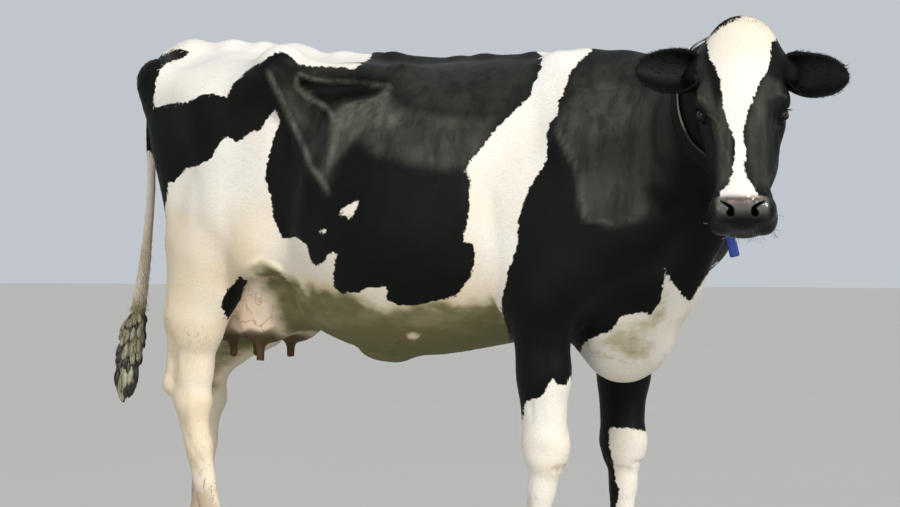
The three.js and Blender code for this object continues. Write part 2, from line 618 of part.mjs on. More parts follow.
// Switch: a core that thins downwards, under locks that hang from it and overlap
const SWITCH = { locks: 18, reach: 40, tip: [-124, -74, 486], lock: { width: 15, flat: 0.5 } };
function tailSwitch() {
  const coreLine = [beside(TAIL[6], -1, -1, -4), [-112, -50, 690], [-118, -60, 610], SWITCH.tip];
  const curve = new THREE.CatmullRomCurve3(coreLine.map((p) => new THREE.Vector3(...p)), false, 'centripetal');
  let hair = tube(coreLine, [[0, 12.5], [0.25, 19], [0.6, 19], [0.85, 11], [1, 3]], 6, 7, SIDEWAYS);
  for (let i = 0; i < SWITCH.locks; i++) {
    const level = 0.03 + 0.66 * i / SWITCH.locks;
    const angle = i * 2.399963;
    const uneven = ((i * 5) % 7) / 6; // locks differ in length and in how far they stand out
    const out = new THREE.Vector3(Math.cos(angle), Math.sin(angle), 0);
    const spread = SWITCH.reach * (0.55 + 0.45 * Math.sin(Math.PI * Math.min(1, level + 0.3))) - 6 * uneven;
    const root = curve.getPointAt(level);
    const end = Math.min(1, level + 0.42 + 0.14 * uneven);
    const path = [[0, 3], [0.35, 0.62 * spread], [0.72, spread], [1, 0.74 * spread]].map(([t, away]) => {
      const point = curve.getPointAt(level + t * (end - level));
      return point.addScaledVector(out, away).toArray();
    });
    path[0] = root.addScaledVector(out, 3).toArray();
    const wide = new THREE.Vector3(-out.y, out.x, 0);
    const sizes = [[0, 0.7], [0.4, 1], [0.75, 0.8], [1, 0.15]].map(([u, r]) => [u, r * SWITCH.lock.width]);
    hair = hair.add(tube(path, sizes, 3, 4, wide, SWITCH.lock.flat));
  }
  return hair;
}
add('tail_switch', tailSwitch(), TAIL_HAIR);

// Neck strap: a band that follows the neck, round in an upright plane behind the head
const COLLAR = { at: [1808, -166, 1250], width: 38, thick: 4, slack: 2, turn: 47 };
function neckBand({ at, width, thick, slack, turn: heading }) {
  const ahead = FORWARD.clone().applyAxisAngle(UP, -THREE.MathUtils.degToRad(heading));
  const across = ahead.clone().cross(UP);
  const edges = [[-1, slack], [1, slack], [1, slack + thick], [-1, slack + thick]];
  const spokes = 30;
  const sections = Array.from({ length: spokes }, (_, i) => {
    const angle = i * 2 * Math.PI / spokes;
    const way = UP.clone().multiplyScalar(Math.cos(angle)).addScaledVector(across, Math.sin(angle));
    return edges.map(([side, out]) => {
      const from = new THREE.Vector3(...at).addScaledVector(ahead, side * width / 2);
      return from.clone().addScaledVector(way, reach(flesh(bodySolids, torsoSwells), from, way) + out);
    });
  });
  return solidOf(loftGeometry(sections, true));
}
add('collar_strap', neckBand(COLLAR).subtract(grownHead).subtract(grownBody), STRAP);

// Blue tag on the strap's lowest point
const TAG = { size: [16, 34, 104], at: [1822, -137, 985] };
function block(size, at, yaw) {
  const geometry = new THREE.BoxGeometry(...size);
  geometry.rotateZ(-THREE.MathUtils.degToRad(yaw));
  geometry.translate(...at);
  return solidOf(geometry);
}
add('collar_tag', block(TAG.size, TAG.at, COLLAR.turn), TAG_BLUE);

// Legs, hooves and dew claws
const hindAxis = (s) => {
  const f = HIND_FETLOCK[s];
  return {
    axis: [
      [STIFLE[s][0] - 165, s * 194, 930], [STIFLE[s][0] - 205, s * 190, 780], beside(HOCK[s], 12, 0, 90),
      beside(HOCK[s], 2, 0, -10), toward(HOCK[s], f, 0.4), beside(f, -4, 0, 20), beside(f, 34, 0, -62),
    ],
    rings: 26, spokes: 12, up: FORWARD, fans: [2, 2],
  };
};
const foreAxis = (s) => {
  const f = FORE_FETLOCK[s];
  return {
    axis: [
      [1296 + (KNEE[s][0] - 1300) * 0.4, s * 186, 820], beside(KNEE[s], -2, s * 8, 200),
      beside(KNEE[s], -2, 0, 0),
      toward(KNEE[s], f, 0.4), beside(f, -4, 0, 20), beside(f, 34, 0, -62),
    ],
    rings: 26, spokes: 12, up: FORWARD, fans: [2, 2],
  };
};

// One hoof: a half oval block whose toe wall slopes back from the ground to the coronet
function hoof(centre, side, grow) {
  const geometry = new THREE.CylinderGeometry(1, 1, 1, 12, 2);
  geometry.rotateX(Math.PI / 2);
  const points = geometry.attributes.position;
  for (let i = 0; i < points.count; i++) {
    const height = points.getZ(i) + 0.5;
    const forward = points.getX(i);
    const outward = points.getY(i) * side;
    const taper = 1 - 0.2 * height;
    const halfWidth = (HOOF.width / 2 + grow) * (1 - 0.34 * Math.max(0, forward) ** 2) * taper;
    const halfLength = (HOOF.length / 2 + grow) * taper;
    const rim = THREE.MathUtils.lerp(HOOF.heel, HOOF.toe, (forward + 1) / 2) + grow;
    points.setXYZ(
      i,
      centre[0] + forward * halfLength - 30 * height * height,
      centre[1] + side * (outward > 0 ? outward * halfWidth * 1.06 : outward * halfWidth * 0.9),
      height * rim,
    );
  }
  return solidOf(geometry);
}

const grownLegs = [];
for (const [pair, legSolids, axisOf, fetlocks] of [
  ['fore', foreLeg, foreAxis, FORE_FETLOCK],
  ['hind', hindLeg, hindAxis, HIND_FETLOCK],
]) {
  for (const s of [LEFT, RIGHT]) {
    const solids = legSolids(s);
    const grown = wrap(solids, [], GAP, axisOf(s));
    let leg = wrap(solids, [], 0, axisOf(s)).subtract(grownBody);
    for (const d of [LEFT, RIGHT]) {
      const at = beside(fetlocks[s], 66, d * 31, 0);
      const claw = `${pair}_${SIDE_NAME[s]}_${SIDE_NAME[d]}`;
      leg = leg.subtract(hoof(at, d, GAP));
      add(`hoof_${claw}`, hoof(at, d, 0), HORN);
      const dew = egg(beside(fetlocks[s], -46, d * 24, -36), [14, 12, 19], [0, 30, 0], 6);
      add(`dewclaw_${claw}`, dew.subtract(grown), HORN);
    }
    add(`${pair}leg_${SIDE_NAME[s]}`, leg, HIDE_WHITE);
    grownLegs.push(grown);
  }
}

// Udder
const udderAxis = {
  axis: [[200, 0, 800], [300, 0, 800], [400, 0, 800]],
  rings: 5,
  spokes: 18,
  up: UP,
  fans: [4, 3],
};
let udder = wrap(udderFlesh, [], 0, udderAxis);
for (const [x, y, z] of TEATS) {
  const teat = new THREE.CapsuleGeometry(12.5, TEAT_LENGTH, 2, 8);
  teat.rotateX(Math.PI / 2);
  teat.translate(x, y, z + 12.5 + TEAT_LENGTH / 2);
  udder = udder.add(solidOf(teat));
}
udder = udder.subtract(grownBody);
for (const leg of grownLegs) udder = udder.subtract(leg);
add('udder', udder, UDDER_PINK);

export default cow;
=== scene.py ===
"""A standing Holstein-Friesian cow, dressed over the fixed frame of her solids.

The flesh, the markings and the coat are worked out in the body's own frame, in millimetres: +X from the
pin bones to the chest, +Y to the cow's left, +Z up. The head has a frame of its own: +X down the face from
the poll, +Y to the cow's left, +Z out of the face.
"""

import math
from contextlib import contextmanager

import bpy
import numpy as np
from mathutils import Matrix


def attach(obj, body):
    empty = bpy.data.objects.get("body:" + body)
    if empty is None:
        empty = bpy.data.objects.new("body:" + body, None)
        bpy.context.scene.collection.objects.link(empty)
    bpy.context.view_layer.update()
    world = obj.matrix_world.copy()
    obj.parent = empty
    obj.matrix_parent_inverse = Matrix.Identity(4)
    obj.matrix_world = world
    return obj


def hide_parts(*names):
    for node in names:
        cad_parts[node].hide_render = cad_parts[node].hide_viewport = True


bl_info = {
    "name": "Dairy Cow",
    "version": (1, 0, 0),
    "blender": (4, 5, 0),
    "location": "View3D > Sidebar > Cow",
    "description": "Dresses the solids of a standing dairy cow with skin, coat, eyes, horn and collar",
    "category": "Object",
}

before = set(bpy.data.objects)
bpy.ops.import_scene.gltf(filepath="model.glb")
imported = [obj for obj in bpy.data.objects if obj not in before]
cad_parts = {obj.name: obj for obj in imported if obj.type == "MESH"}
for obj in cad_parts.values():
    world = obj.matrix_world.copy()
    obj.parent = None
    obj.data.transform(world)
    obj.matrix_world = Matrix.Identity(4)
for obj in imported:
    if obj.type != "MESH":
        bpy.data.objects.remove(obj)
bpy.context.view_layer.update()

MM = 0.001
BODY_IN_ROW = np.array([-1012.0, 63.0, 0.0])
LEFT, RIGHT = 1, -1
SIDES = {LEFT: "left", RIGHT: "right"}
rng = np.random.default_rng(7)


def to_body(points_m):
    """Row frame in metres to body frame in millimetres."""
    return np.asarray(points_m, float) / MM - BODY_IN_ROW


def to_row(points_mm):
    """Body frame in millimetres to row frame in metres."""
    return (np.asarray(points_mm, float) + BODY_IN_ROW) * MM


def unit(vectors):
    """Vectors of length one."""
    return vectors / np.maximum(np.linalg.norm(vectors, axis=-1, keepdims=True), 1e-9)


# ---- The head's frame

POLL = np.array([1957.0, -310.0, 1505.0])
HEAD_TURN = math.radians(-62)
FACE_DROOP = math.radians(68)


def turned(angle, axis):
    c, s = math.cos(angle), math.sin(angle)
    if axis == "y":
        return np.array([[c, 0, s], [0, 1, 0], [-s, 0, c]])
    return np.array([[c, -s, 0], [s, c, 0], [0, 0, 1]])


HEAD_AXES = turned(HEAD_TURN, "z") @ turned(FACE_DROOP, "y")


def to_head(points):
    return (np.asarray(points, float) - POLL) @ HEAD_AXES


def from_head(points):
    return np.asarray(points, float) @ HEAD_AXES.T + POLL


# ---- Flesh: distances to blended forms

NEAR = 110.0  # a form further away than this leaves the surface as it is


class Form:
    """A solid, as the distance to it, with the size of the fillet where it meets its neighbours."""

    def __init__(self, at, centre, reach, fillet):
        self.at = at
        self.centre = np.asarray(centre, float)
        self.reach = reach
        self.fillet = fillet

    def close_to(self, p):
        away = p - self.centre
        return np.flatnonzero((away * away).sum(1) < (self.reach + NEAR) ** 2)


def blend(a, b, fillet):
    close = np.maximum(fillet - np.abs(a - b), 0) / fillet
    return np.minimum(a, b) - close * close * fillet / 4


def rod(a, b, ra, rb, flat=1.0, fillet=40.0):
    """Flesh round a straight bone, its width flat times its depth."""
    a, b = np.array(a, float), np.array(b, float)
    d = b - a
    squash = np.array([1, 1 / flat, 1])

    def at(p):
        q = p - a
        t = np.clip(q @ d / (d @ d), 0, 1)
        e = (q - t[:, None] * d) * squash
        size = np.linalg.norm(e, axis=1) + 1e-6
        return (size - ra - t * (rb - ra)) * size / (np.linalg.norm(e * squash, axis=1) + 1e-6)

    return Form(at, (a + b) / 2, np.linalg.norm(d) / 2 + max(ra, rb) * max(1, flat), fillet)


def tube(line, sizes, fillet=20.0):
    """Flesh round a bent line. Sizes are rows of [share of the line, radius]."""
    line = smooth_line(line, 3)
    centre = (line.min(0) + line.max(0)) / 2

    def at(p):
        away, share = along_line(p, line)
        return away - between(sizes, share)[:, 1]

    return Form(at, centre, np.linalg.norm(line - centre, axis=1).max() + 40, fillet)


def mass(centre, radii, fillet=50.0, tilt=0.0):
    """A rounded mass of flesh. Tilt turns it in the side view, nose down, in degrees."""
    centre, radii = np.array(centre, float), np.array(radii, float)
    c, s = math.cos(math.radians(tilt)), math.sin(math.radians(tilt))

    def at(p):
        q = p - centre
        u = np.stack([c * q[:, 0] - s * q[:, 2], q[:, 1], s * q[:, 0] + c * q[:, 2]], 1) / radii
        size = np.linalg.norm(u, axis=1) + 1e-6
        return size * (size - 1) / (np.linalg.norm(u / radii, axis=1) + 1e-9)

    return Form(at, centre, radii.max(), fillet)


def swell(centre, radii, height):
    """A soft rise of the surface, or a hollow where height is negative."""
    centre, radii = np.array(centre, float), np.array(radii, float)

    def at(p):
        u = (p - centre) / radii
        return -height * np.exp(-(u * u).sum(1))

    return Form(at, centre, 2.6 * radii.max() - NEAR, 0)


def along_line(points, line):
    """Distance from each point to a line through the given places, and how far along it is nearest."""
    line = np.asarray(line, float)
    best = np.full(len(points), 1e9)
    share = np.zeros(len(points))
    for i, (a, b) in enumerate(zip(line[:-1], line[1:])):
        d = b - a
        t = np.clip((points - a) @ d / (d @ d), 0, 1)
        away = np.linalg.norm(points - a - t[:, None] * d, axis=1)
        closer = away < best
        best[closer] = away[closer]
        share[closer] = (i + t[closer]) / (len(line) - 1)
    return best, share


def smooth_line(points, steps=6):
    """More places along a smooth curve through the given ones."""
    p = np.asarray(points, float)
    q = np.vstack([2 * p[0] - p[1], p, 2 * p[-1] - p[-2]])
    out = []
    for i in range(1, len(q) - 2):
        for t in np.arange(steps) / steps:
            out.append(0.5 * (2 * q[i] + (q[i + 1] - q[i - 1]) * t
                              + (2 * q[i - 1] - 5 * q[i] + 4 * q[i + 1] - q[i + 2]) * t * t
                              + (3 * q[i] - q[i - 1] - 3 * q[i + 1] + q[i + 2]) * t ** 3))
    return np.array(out + [p[-1]])


def ridge(line, width, height, dip=0.0):
    """A raised line under the skin, or a groove where height is negative, fading out at its ends."""
    line = smooth_line(line, 4)
    centre = (line.min(0) + line.max(0)) / 2

    def at(p):
        away, share = along_line(p, line)
        fade = np.clip(np.minimum(share, 1 - share) * 6, 0, 1)
        profile = np.exp(-(away / width) ** 2) - dip * np.exp(-(away / width / 2.6) ** 2)
        return -height * fade * profile

    return Form(at, centre, np.linalg.norm(line - centre, axis=1).max() + 6 * width - NEAR, 0)


def between(rows, x):
    """A curve through rows [x, a, b, ...] at each x, by cubic interpolation."""
    rows = np.asarray(rows, float)
    last = len(rows) - 1
    i = np.clip(np.searchsorted(rows[:, 0], x, side="right") - 1, 0, last - 1)

    def slope(j):
        low, high = rows[np.maximum(0, j - 1)], rows[np.minimum(last, j + 1)]
        return (high - low) / (high[:, :1] - low[:, :1])

    wide = (rows[i + 1, 0] - rows[i, 0])[:, None]
    t = np.clip((x - rows[i, 0])[:, None] / wide, 0, 1)
    return ((2 * t ** 3 - 3 * t * t + 1) * rows[i] + (t ** 3 - 2 * t * t + t) * wide * slope(i)
            + (3 * t * t - 2 * t ** 3) * rows[i + 1] + (t ** 3 - t * t) * wide * slope(i + 1))


def barrel(rows, fillet):
    """The rib cage and belly, through sections [x, top, bottom, half width, height of the widest, roof]."""
    first, end = rows[0][0], rows[-1][0]

    def at(p):
        x, y, z = p.T
        _, top, bottom, half, widest, roof = between(rows, np.clip(x, first, end)).T
        up = z > widest
        tall = np.where(up, top - widest, widest - bottom)
        power = np.where(up, roof, 2.1)
        u, v = np.abs(y) / half + 1e-6, np.abs(z - widest) / tall + 1e-6
        size = (u ** power + v ** power) ** (1 / power)
        steep = size ** (1 - power) * np.hypot(u ** (power - 1) / half, v ** (power - 1) / tall)
        side = (size - 1) / steep
        beyond = np.maximum(first - x, x - end)
        return np.where((side > 0) & (beyond > 0), np.hypot(side, beyond), np.maximum(side, beyond))

    middle = [(first + end) / 2, 0, 1080]
    return Form(at, middle, (end - first) / 2 + 100, fillet)


def both(make):
    return [make(LEFT), make(RIGHT)]


def each_side(make):
    return [form for s in (LEFT, RIGHT) for form in make(s)]


def distance(p, forms, swells=()):
    """How far each point is from the flesh, negative inside it."""
    d = np.full(len(p), 400.0)
    for form in forms:
        near = form.close_to(p)
        if len(near):
            d[near] = blend(d[near], form.at(p[near]), form.fillet)
    for form in swells:
        near = form.close_to(p)
        if len(near):
            d[near] += form.at(p[near])
    return d


# ---- Trunk and neck

BARREL = [
    [-40, 1400, 1180, 60, 1300, 2],
    [60, 1468, 1060, 160, 1290, 2],
    [180, 1490, 960, 212, 1260, 1.9],
    [330, 1484, 880, 240, 1230, 1.8],
    [450, 1462, 750, 258, 1150, 2],
    [560, 1458, 688, 290, 1060, 2.2],
    [700, 1450, 652, 345, 1010, 2.3],
    [850, 1434, 645, 372, 1000, 2.3],
    [1000, 1440, 665, 360, 1005, 2.2],
    [1150, 1444, 690, 310, 1020, 2],
    [1300, 1446, 702, 250, 1050, 1.7],
    [1450, 1434, 700, 205, 1070, 1.6],
    [1560, 1400, 730, 160, 1080, 1.7],
    [1630, 1320, 850, 105, 1080, 2],
    [1680, 1200, 960, 40, 1080, 2],
]
# The back's skyline, tail head to neck: [x, height, radius of the ridge]
SPINE = [
    [-4, 1498, 40], [60, 1512, 40], [190, 1510, 34], [300, 1500, 28], [385, 1474, 26], [560, 1466, 24],
    [720, 1462, 22], [930, 1444, 22], [1010, 1448, 24], [1170, 1447, 26], [1330, 1447, 30],
    [1450, 1437, 34], [1530, 1424, 38],
]
STIFLE = {RIGHT: [432, -222, 925], LEFT: [392, 222, 915]}
HOCK = {RIGHT: [170, -172, 528], LEFT: [-22, 172, 528]}
HIND_FETLOCK = {RIGHT: [247, -172, 162], LEFT: [-38, 172, 162]}
KNEE = {RIGHT: [1304, -165, 405], LEFT: [1352, 160, 405]}
FORE_FETLOCK = {RIGHT: [1268, -163, 158], LEFT: [1350, 158, 158]}


def hook(s):
    return [522, s * 238, 1418]


def pin(s):
    return [38, s * 138, 1402]


def shoulder(s):
    return [1575, s * 166, 985]


def spine_ridge():
    return [rod([x0, 0, z0 - r0], [x, 0, z - r], r0, r, 1, 36)
            for (x0, z0, r0), (x, z, r) in zip(SPINE, SPINE[1:])]


def haunch(s):
    """Hook, pin and thigh; the stifle lies further back on the leg that is set back."""
    knee = STIFLE[s][0]
    return [
        mass(hook(s), [66, 46, 44], 60),
        mass(pin(s), [48, 38, 46], 60),
        rod(hook(s), [270, s * 205, 1322], 40, 46, 1, 70),
        rod([270, s * 205, 1322], pin(s), 46, 36, 1, 70),
        rod(hook(s), [400, 0, 1430], 34, 40, 1, 70),
        rod(pin(s), [40, 0, 1440], 34, 44, 1, 60),
        rod([230, s * 120, 1300], STIFLE[s], 150, 92, 0.72, 80),
        rod([66, s * 136, 1320], [knee - 262, s * 160, 990], 60, 78, 0.8, 80),
        rod([478, s * 184, 1344], [knee + 60, s * 218, 980], 74, 70, 0.7, 80),
        mass([400, s * 170, 1360], [150, 60, 80], 70),
        rod([knee - 130, s * 190, 1000], [knee - 180, s * 186, 850], 120, 100, 0.62, 60),
        mass([knee + 15, s * 236, 935], [62, 40, 74], 50),
        # front edge of the thigh, hook to flank fold
        rod(hook(s), [546, s * 248, 1330], 30, 24, 1, 50),
        rod([546, s * 248, 1330], [606, s * 264, 1225], 24, 20, 1, 50),
        rod([606, s * 264, 1225], [668, s * 290, 1110], 20, 18, 1, 50),
        rod([668, s * 290, 1110], [640, s * 266, 960], 18, 30, 1, 60),
    ]


def flank_and_shoulder(s):
    """Short ribs over the flank, last rib, shoulder blade, point of shoulder and elbow."""
    return [
        rod([560, s * 170, 1388], [850, s * 160, 1374], 40, 38, 1, 60),
        rod([860, s * 176, 1390], [880, s * 318, 1200], 18, 16, 1, 60),
        rod([1290, s * 78, 1400], [1420, s * 168, 1200], 46, 62, 0.7, 70),
        rod([1420, s * 168, 1200], shoulder(s), 62, 70, 0.75, 110),
        mass([1340, s * 172, 985], [165, 82, 190], 90, 20),
        mass([1540, s * 92, 1060], [125, 84, 180], 110),
        rod(shoulder(s), [1330, s * 190, 830], 66, 80, 0.8, 90),
        mass([1245, s * 192, 800], [40, 30, 46], 40),
    ]


def neck():
    return [
        rod([1350, 0, 1336], [1640, -62, 1360], 90, 66, 0.85, 70),
        rod([1640, -62, 1360], [1895, -250, 1410], 66, 58, 0.85, 70),
        rod([1470, 0, 1180], [1735, -100, 1250], 172, 122, 0.86, 90),
        rod([1735, -100, 1250], [1890, -240, 1352], 122, 96, 0.86, 90),
        rod([1540, 0, 990], [1690, -58, 1120], 128, 88, 0.76, 90),
        rod([1690, -58, 1120], [1840, -190, 1306], 88, 66, 0.76, 80),
        # dewlap
        rod([1600, 0, 800], [1712, -28, 970], 36, 24, 0.7, 70),
        rod([1712, -28, 970], [1800, -120, 1080], 26, 26, 0.7, 60),
        rod([1800, -120, 1080], [1862, -192, 1240], 26, 20, 0.7, 60),
    ]


TRUNK = [
    barrel(BARREL, 60), *spine_ridge(),
    mass([1452, 0, 742], [146, 90, 164], 80, 20),
    rod([1500, 0, 960], [1560, 0, 900], 150, 112, 0.75, 80),
    mass([700, 0, 650], [70, 22, 28], 50),
    *neck(), *each_side(haunch), *each_side(flank_and_shoulder),
]


# Raised lines on the right flank, as places on its skin: from the hook down to the flank fold, round the
# hollow from the hook to where they meet, and along the tips of the short ribs
FRONT_OF_THIGH = [[512, -305, 1424], [533, -293, 1368], [564, -286, 1305], [609, -299, 1245],
                  [638, -310, 1202], [674, -330, 1153], [720, -345, 1113], [757, -357, 1067]]
ROUND_HOLLOW = [[587, -272, 1407], [585, -262, 1370], [594, -248, 1352], [613, -238, 1335], [678, -268, 1312],
                [717, -293, 1281], [736, -312, 1248], [739, -330, 1200], [730, -340, 1152], [723, -344, 1121]]
SHORT_RIBS = [[587, -272, 1407], [607, -234, 1392], [671, -224, 1383], [769, -227, 1378], [842, -241, 1368],
              [870, -245, 1368], [865, -262, 1346], [849, -277, 1327], [795, -276, 1320], [751, -282, 1307]]


def on_side(line, s):
    return [[x, -s * y, z] for x, y, z in line]


def trunk_relief(s):
    """Hollows and ridges of one side that the skin shows."""
    relief = [
        swell([712, s * 236, 1350], [120, 90, 36], -28),  # hollow of the flank
        swell([736, s * 214, 1364], [116, 80, 24], -20),  # under the short ribs
        swell([560, s * 262, 1195], [60, 90, 110], -10),
        swell([150, s * 130, 1470], [90, 60, 60], -16),  # beside the tail head
        swell([1180, s * 250, 1130], [70, 120, 190], -14),  # behind the shoulder
        swell([1500, s * 200, 1190], [90, 100, 110], -10),  # before the shoulder blade
        swell([632, s * 280, 1262], [40, 70, 56], -16),  # between the ridges
        swell([830, s * 330, 1190], [70, 80, 60], -6),
        ridge(on_side(FRONT_OF_THIGH, s), 10, 9, 0.3),
        ridge(on_side(ROUND_HOLLOW, s), 12, 10, 0.3),
        ridge(on_side(SHORT_RIBS, s), 10, 9, 0.2),
        # behind the last rib
        ridge([[914, s * 330, 1245], [908, s * 350, 1190], [898, s * 360, 1130]], 9, -5),
        # edge of the flank's skin over the udder, and the pocket below it
        ridge([[392, s * 262, 862], [463, s * 290, 892], [508, s * 278, 886], [536, s * 246, 858],
               [552, s * 206, 806], [572, s * 168, 752]], 10, 12, 0.2),
        swell([452, s * 210, 806], [68, 76, 52], -66),
        ridge([[1262, s * 120, 1400], [1330, s * 180, 1250], [1392, s * 215, 1120]], 24, 6, 0.4),
        ridge([[1200, s * 220, 830], [1210, s * 260, 960], [1180, s * 262, 1120]], 22, -7),
        ridge([[1470, s * 215, 1010], [1380, s * 235, 910], [1270, s * 240, 860]], 26, 6, 0.4),
        ridge([[1470, s * 240, 1180], [1500, s * 230, 1060], [1490, s * 215, 940]], 20, -5),
        ridge([[170, s * 250, 1240], [240, s * 275, 1100], [250, s * 280, 960]], 22, -5),
        ridge([[322, s * 292, 984], [358, s * 290, 976], [392, s * 284, 992]], 9, -5),
        ridge([[262, s * 280, 900], [300, s * 276, 884], [330, s * 270, 892]], 10, -4),
        ridge([[330, s * 290, 1200], [360, s * 300, 1080], [350, s * 290, 980]], 26, -4),
        # milk vein
        ridge([[560, s * 170, 712], [700, s * 190, 676], [840, s * 196, 664], [960, s * 180, 668],
               [1060, s * 160, 690]], 9, 7),
    ]
    for k in range(6):  # ribs
        x = 900 + 62 * k
        top = [x, s * (300 - 10 * k), 1250 - 8 * k]
        relief.append(ridge([top, [x - 14, s * (358 - 12 * k), 1100], [x - 44, s * (366 - 12 * k), 940]],
                            13, 2.6))
    for k in range(5):  # folds of skin over the shoulder and the side of the neck
        x = 1400 + 46 * k
        relief.append(ridge([[x, s * 190, 1330 - 14 * k], [x + 16, s * 205, 1210 - 12 * k],
                             [x + 10, s * 205, 1080]], 9, 2.4, 0.2))
    return relief


def neck_folds():
    """Slanting folds where the neck bends towards its right side."""
    folds = []
    for k in range(5):
        a = np.array([1600 + 42 * k, -110 - 34 * k, 1330 - 4 * k])
        folds.append(ridge([a, a + [34, -22, -90], a + [46, -20, -200]], 10, 3.4 + 0.4 * (k % 2), 0.25))
    return folds


TRUNK_RELIEF = [*each_side(trunk_relief), *neck_folds()]


# ---- Legs, udder and tail

def toward(a, b, t):
    return (np.array(a, float) + t * (np.array(b, float) - np.array(a, float))).tolist()


def beside(p, dx, dy, dz):
    return [p[0] + dx, p[1] + dy, p[2] + dz]


def foot(fetlock):
    """Fetlock and pastern, which ends at the coronets of the two claws."""
    return [
        mass(fetlock, [41, 36, 42], 24),
        mass(beside(fetlock, -22, 0, -16), [26, 30, 30], 20),
        rod(beside(fetlock, 6, 0, -16), beside(fetlock, 40, 0, -86), 31, 36, 1.35, 20),
    ]


def hind_leg(s):
    hock, fetlock = HOCK[s], HIND_FETLOCK[s]
    gaskin = [STIFLE[s][0] - 236, s * 186, 742]
    thigh = [STIFLE[s][0] - 175, s * 190, 900]
    return [
        rod(thigh, gaskin, 116, 84, 0.62, 40),
        rod([STIFLE[s][0] - 264, s * 172, 930], beside(gaskin, -8, 0, 10), 78, 80, 0.62, 40),
        rod(gaskin, beside(hock, 6, 0, 78), 84, 58, 0.64, 40),
        rod(beside(hock, 6, 0, 78), beside(hock, 8, 0, -6), 58, 56, 0.76, 30),
        rod(beside(gaskin, -66, 0, 10), beside(hock, -68, 0, 26), 22, 21, 0.8, 22),
        rod(beside(hock, -6, 0, -6), beside(hock, -66, 0, 32), 34, 25, 0.85, 22),
        rod(beside(hock, 6, 0, -30), toward(hock, fetlock, 0.38), 46, 34, 0.76, 30),
        rod(toward(hock, fetlock, 0.38), toward(hock, fetlock, 0.95), 34, 32, 0.74, 26),
        rod(beside(hock, -24, 0, -60), beside(fetlock, -20, 0, 30), 18, 16, 0.9, 14),
        *foot(fetlock),
    ]


def hind_relief(s):
    hock, fetlock = HOCK[s], HIND_FETLOCK[s]
    gaskin = [STIFLE[s][0] - 236, s * 186, 742]
    return [
        # hollow between the great tendon and the shank
        swell(beside(hock, -34, s * 40, 120), [20, 30, 70], -12),
        swell(beside(hock, -34, -s * 40, 120), [20, 30, 70], -12),
        ridge([beside(gaskin, 70, s * 30, 60), beside(gaskin, 30, s * 45, -60),
               beside(hock, 20, s * 36, 90)], 16, 4, 0.3),
        ridge([beside(hock, 20, s * 30, 40), beside(hock, 26, s * 36, -30), beside(hock, 18, s * 30, -90)],
              12, 4, 0.3),
        ridge([beside(hock, -14, s * 26, -80), beside(fetlock, -8, s * 24, 150),
               beside(fetlock, -6, s * 24, 40)], 6, -3),
        swell(beside(hock, 40, 0, 34), [16, 30, 22], -5),
        ridge([beside(gaskin, -70, s * 40, 66), beside(hock, -33, s * 40, 172),
               beside(hock, -14, s * 26, 44)], 9, -6),
        ridge([beside(gaskin, -50, s * 40, 60), beside(hock, -16, s * 44, 160),
               beside(hock, 2, s * 30, 40)], 8, 3),
    ]


def fore_leg(s):
    knee, fetlock = KNEE[s], FORE_FETLOCK[s]
    top = [1300 + (knee[0] - 1300) * 0.4, s * 186, 790]
    return [
        rod(top, beside(knee, -2, s * 8, 200), 96, 64, 0.78, 40),
        rod(beside(knee, -2, s * 8, 200), beside(knee, 0, 0, 50), 66, 56, 0.88, 44),
        rod(beside(knee, -34, s * 6, 330), beside(knee, -40, 0, 20), 44, 24, 0.9, 30),
        mass(knee, [59, 53, 62], 40),
        mass(beside(knee, -38, s * 3, 14), [20, 22, 28], 20),
        rod(beside(knee, -2, 0, -34), toward(knee, fetlock, 0.42), 46, 34, 0.88, 30),
        rod(toward(knee, fetlock, 0.4), toward(knee, fetlock, 0.95), 33, 31, 0.84, 26),
        rod(beside(knee, -30, 0, -70), beside(fetlock, -22, 0, 30), 15, 15, 0.9, 12),
        *foot(fetlock),
    ]


def fore_relief(s):
    knee, fetlock = KNEE[s], FORE_FETLOCK[s]
    return [
        swell(beside(knee, 10, s * 52, 0), [34, 18, 26], -4),
        swell(beside(knee, 56, 0, 8), [18, 34, 30], 5),
        ridge([beside(knee, 44, -s * 20, 34), beside(knee, 56, 0, 42), beside(knee, 44, s * 26, 34)], 8,
              -3),
        ridge([beside(knee, 34, -s * 30, -46), beside(knee, 50, 0, -42), beside(knee, 34, s * 32, -46)],
              8, -6),
        ridge([beside(knee, 30, s * 50, 300), beside(knee, 34, s * 48, 180), beside(knee, 30, s * 40, 80)],
              14, 4, 0.3),
        ridge([beside(knee, -12, s * 56, 320), beside(knee, -12, s * 54, 180),
               beside(knee, -16, s * 44, 70)], 9, -4),
        ridge([beside(knee, -16, s * 28, -70), beside(fetlock, -8, s * 26, 120),
               beside(fetlock, -6, s * 26, 40)], 6, -3),
    ]


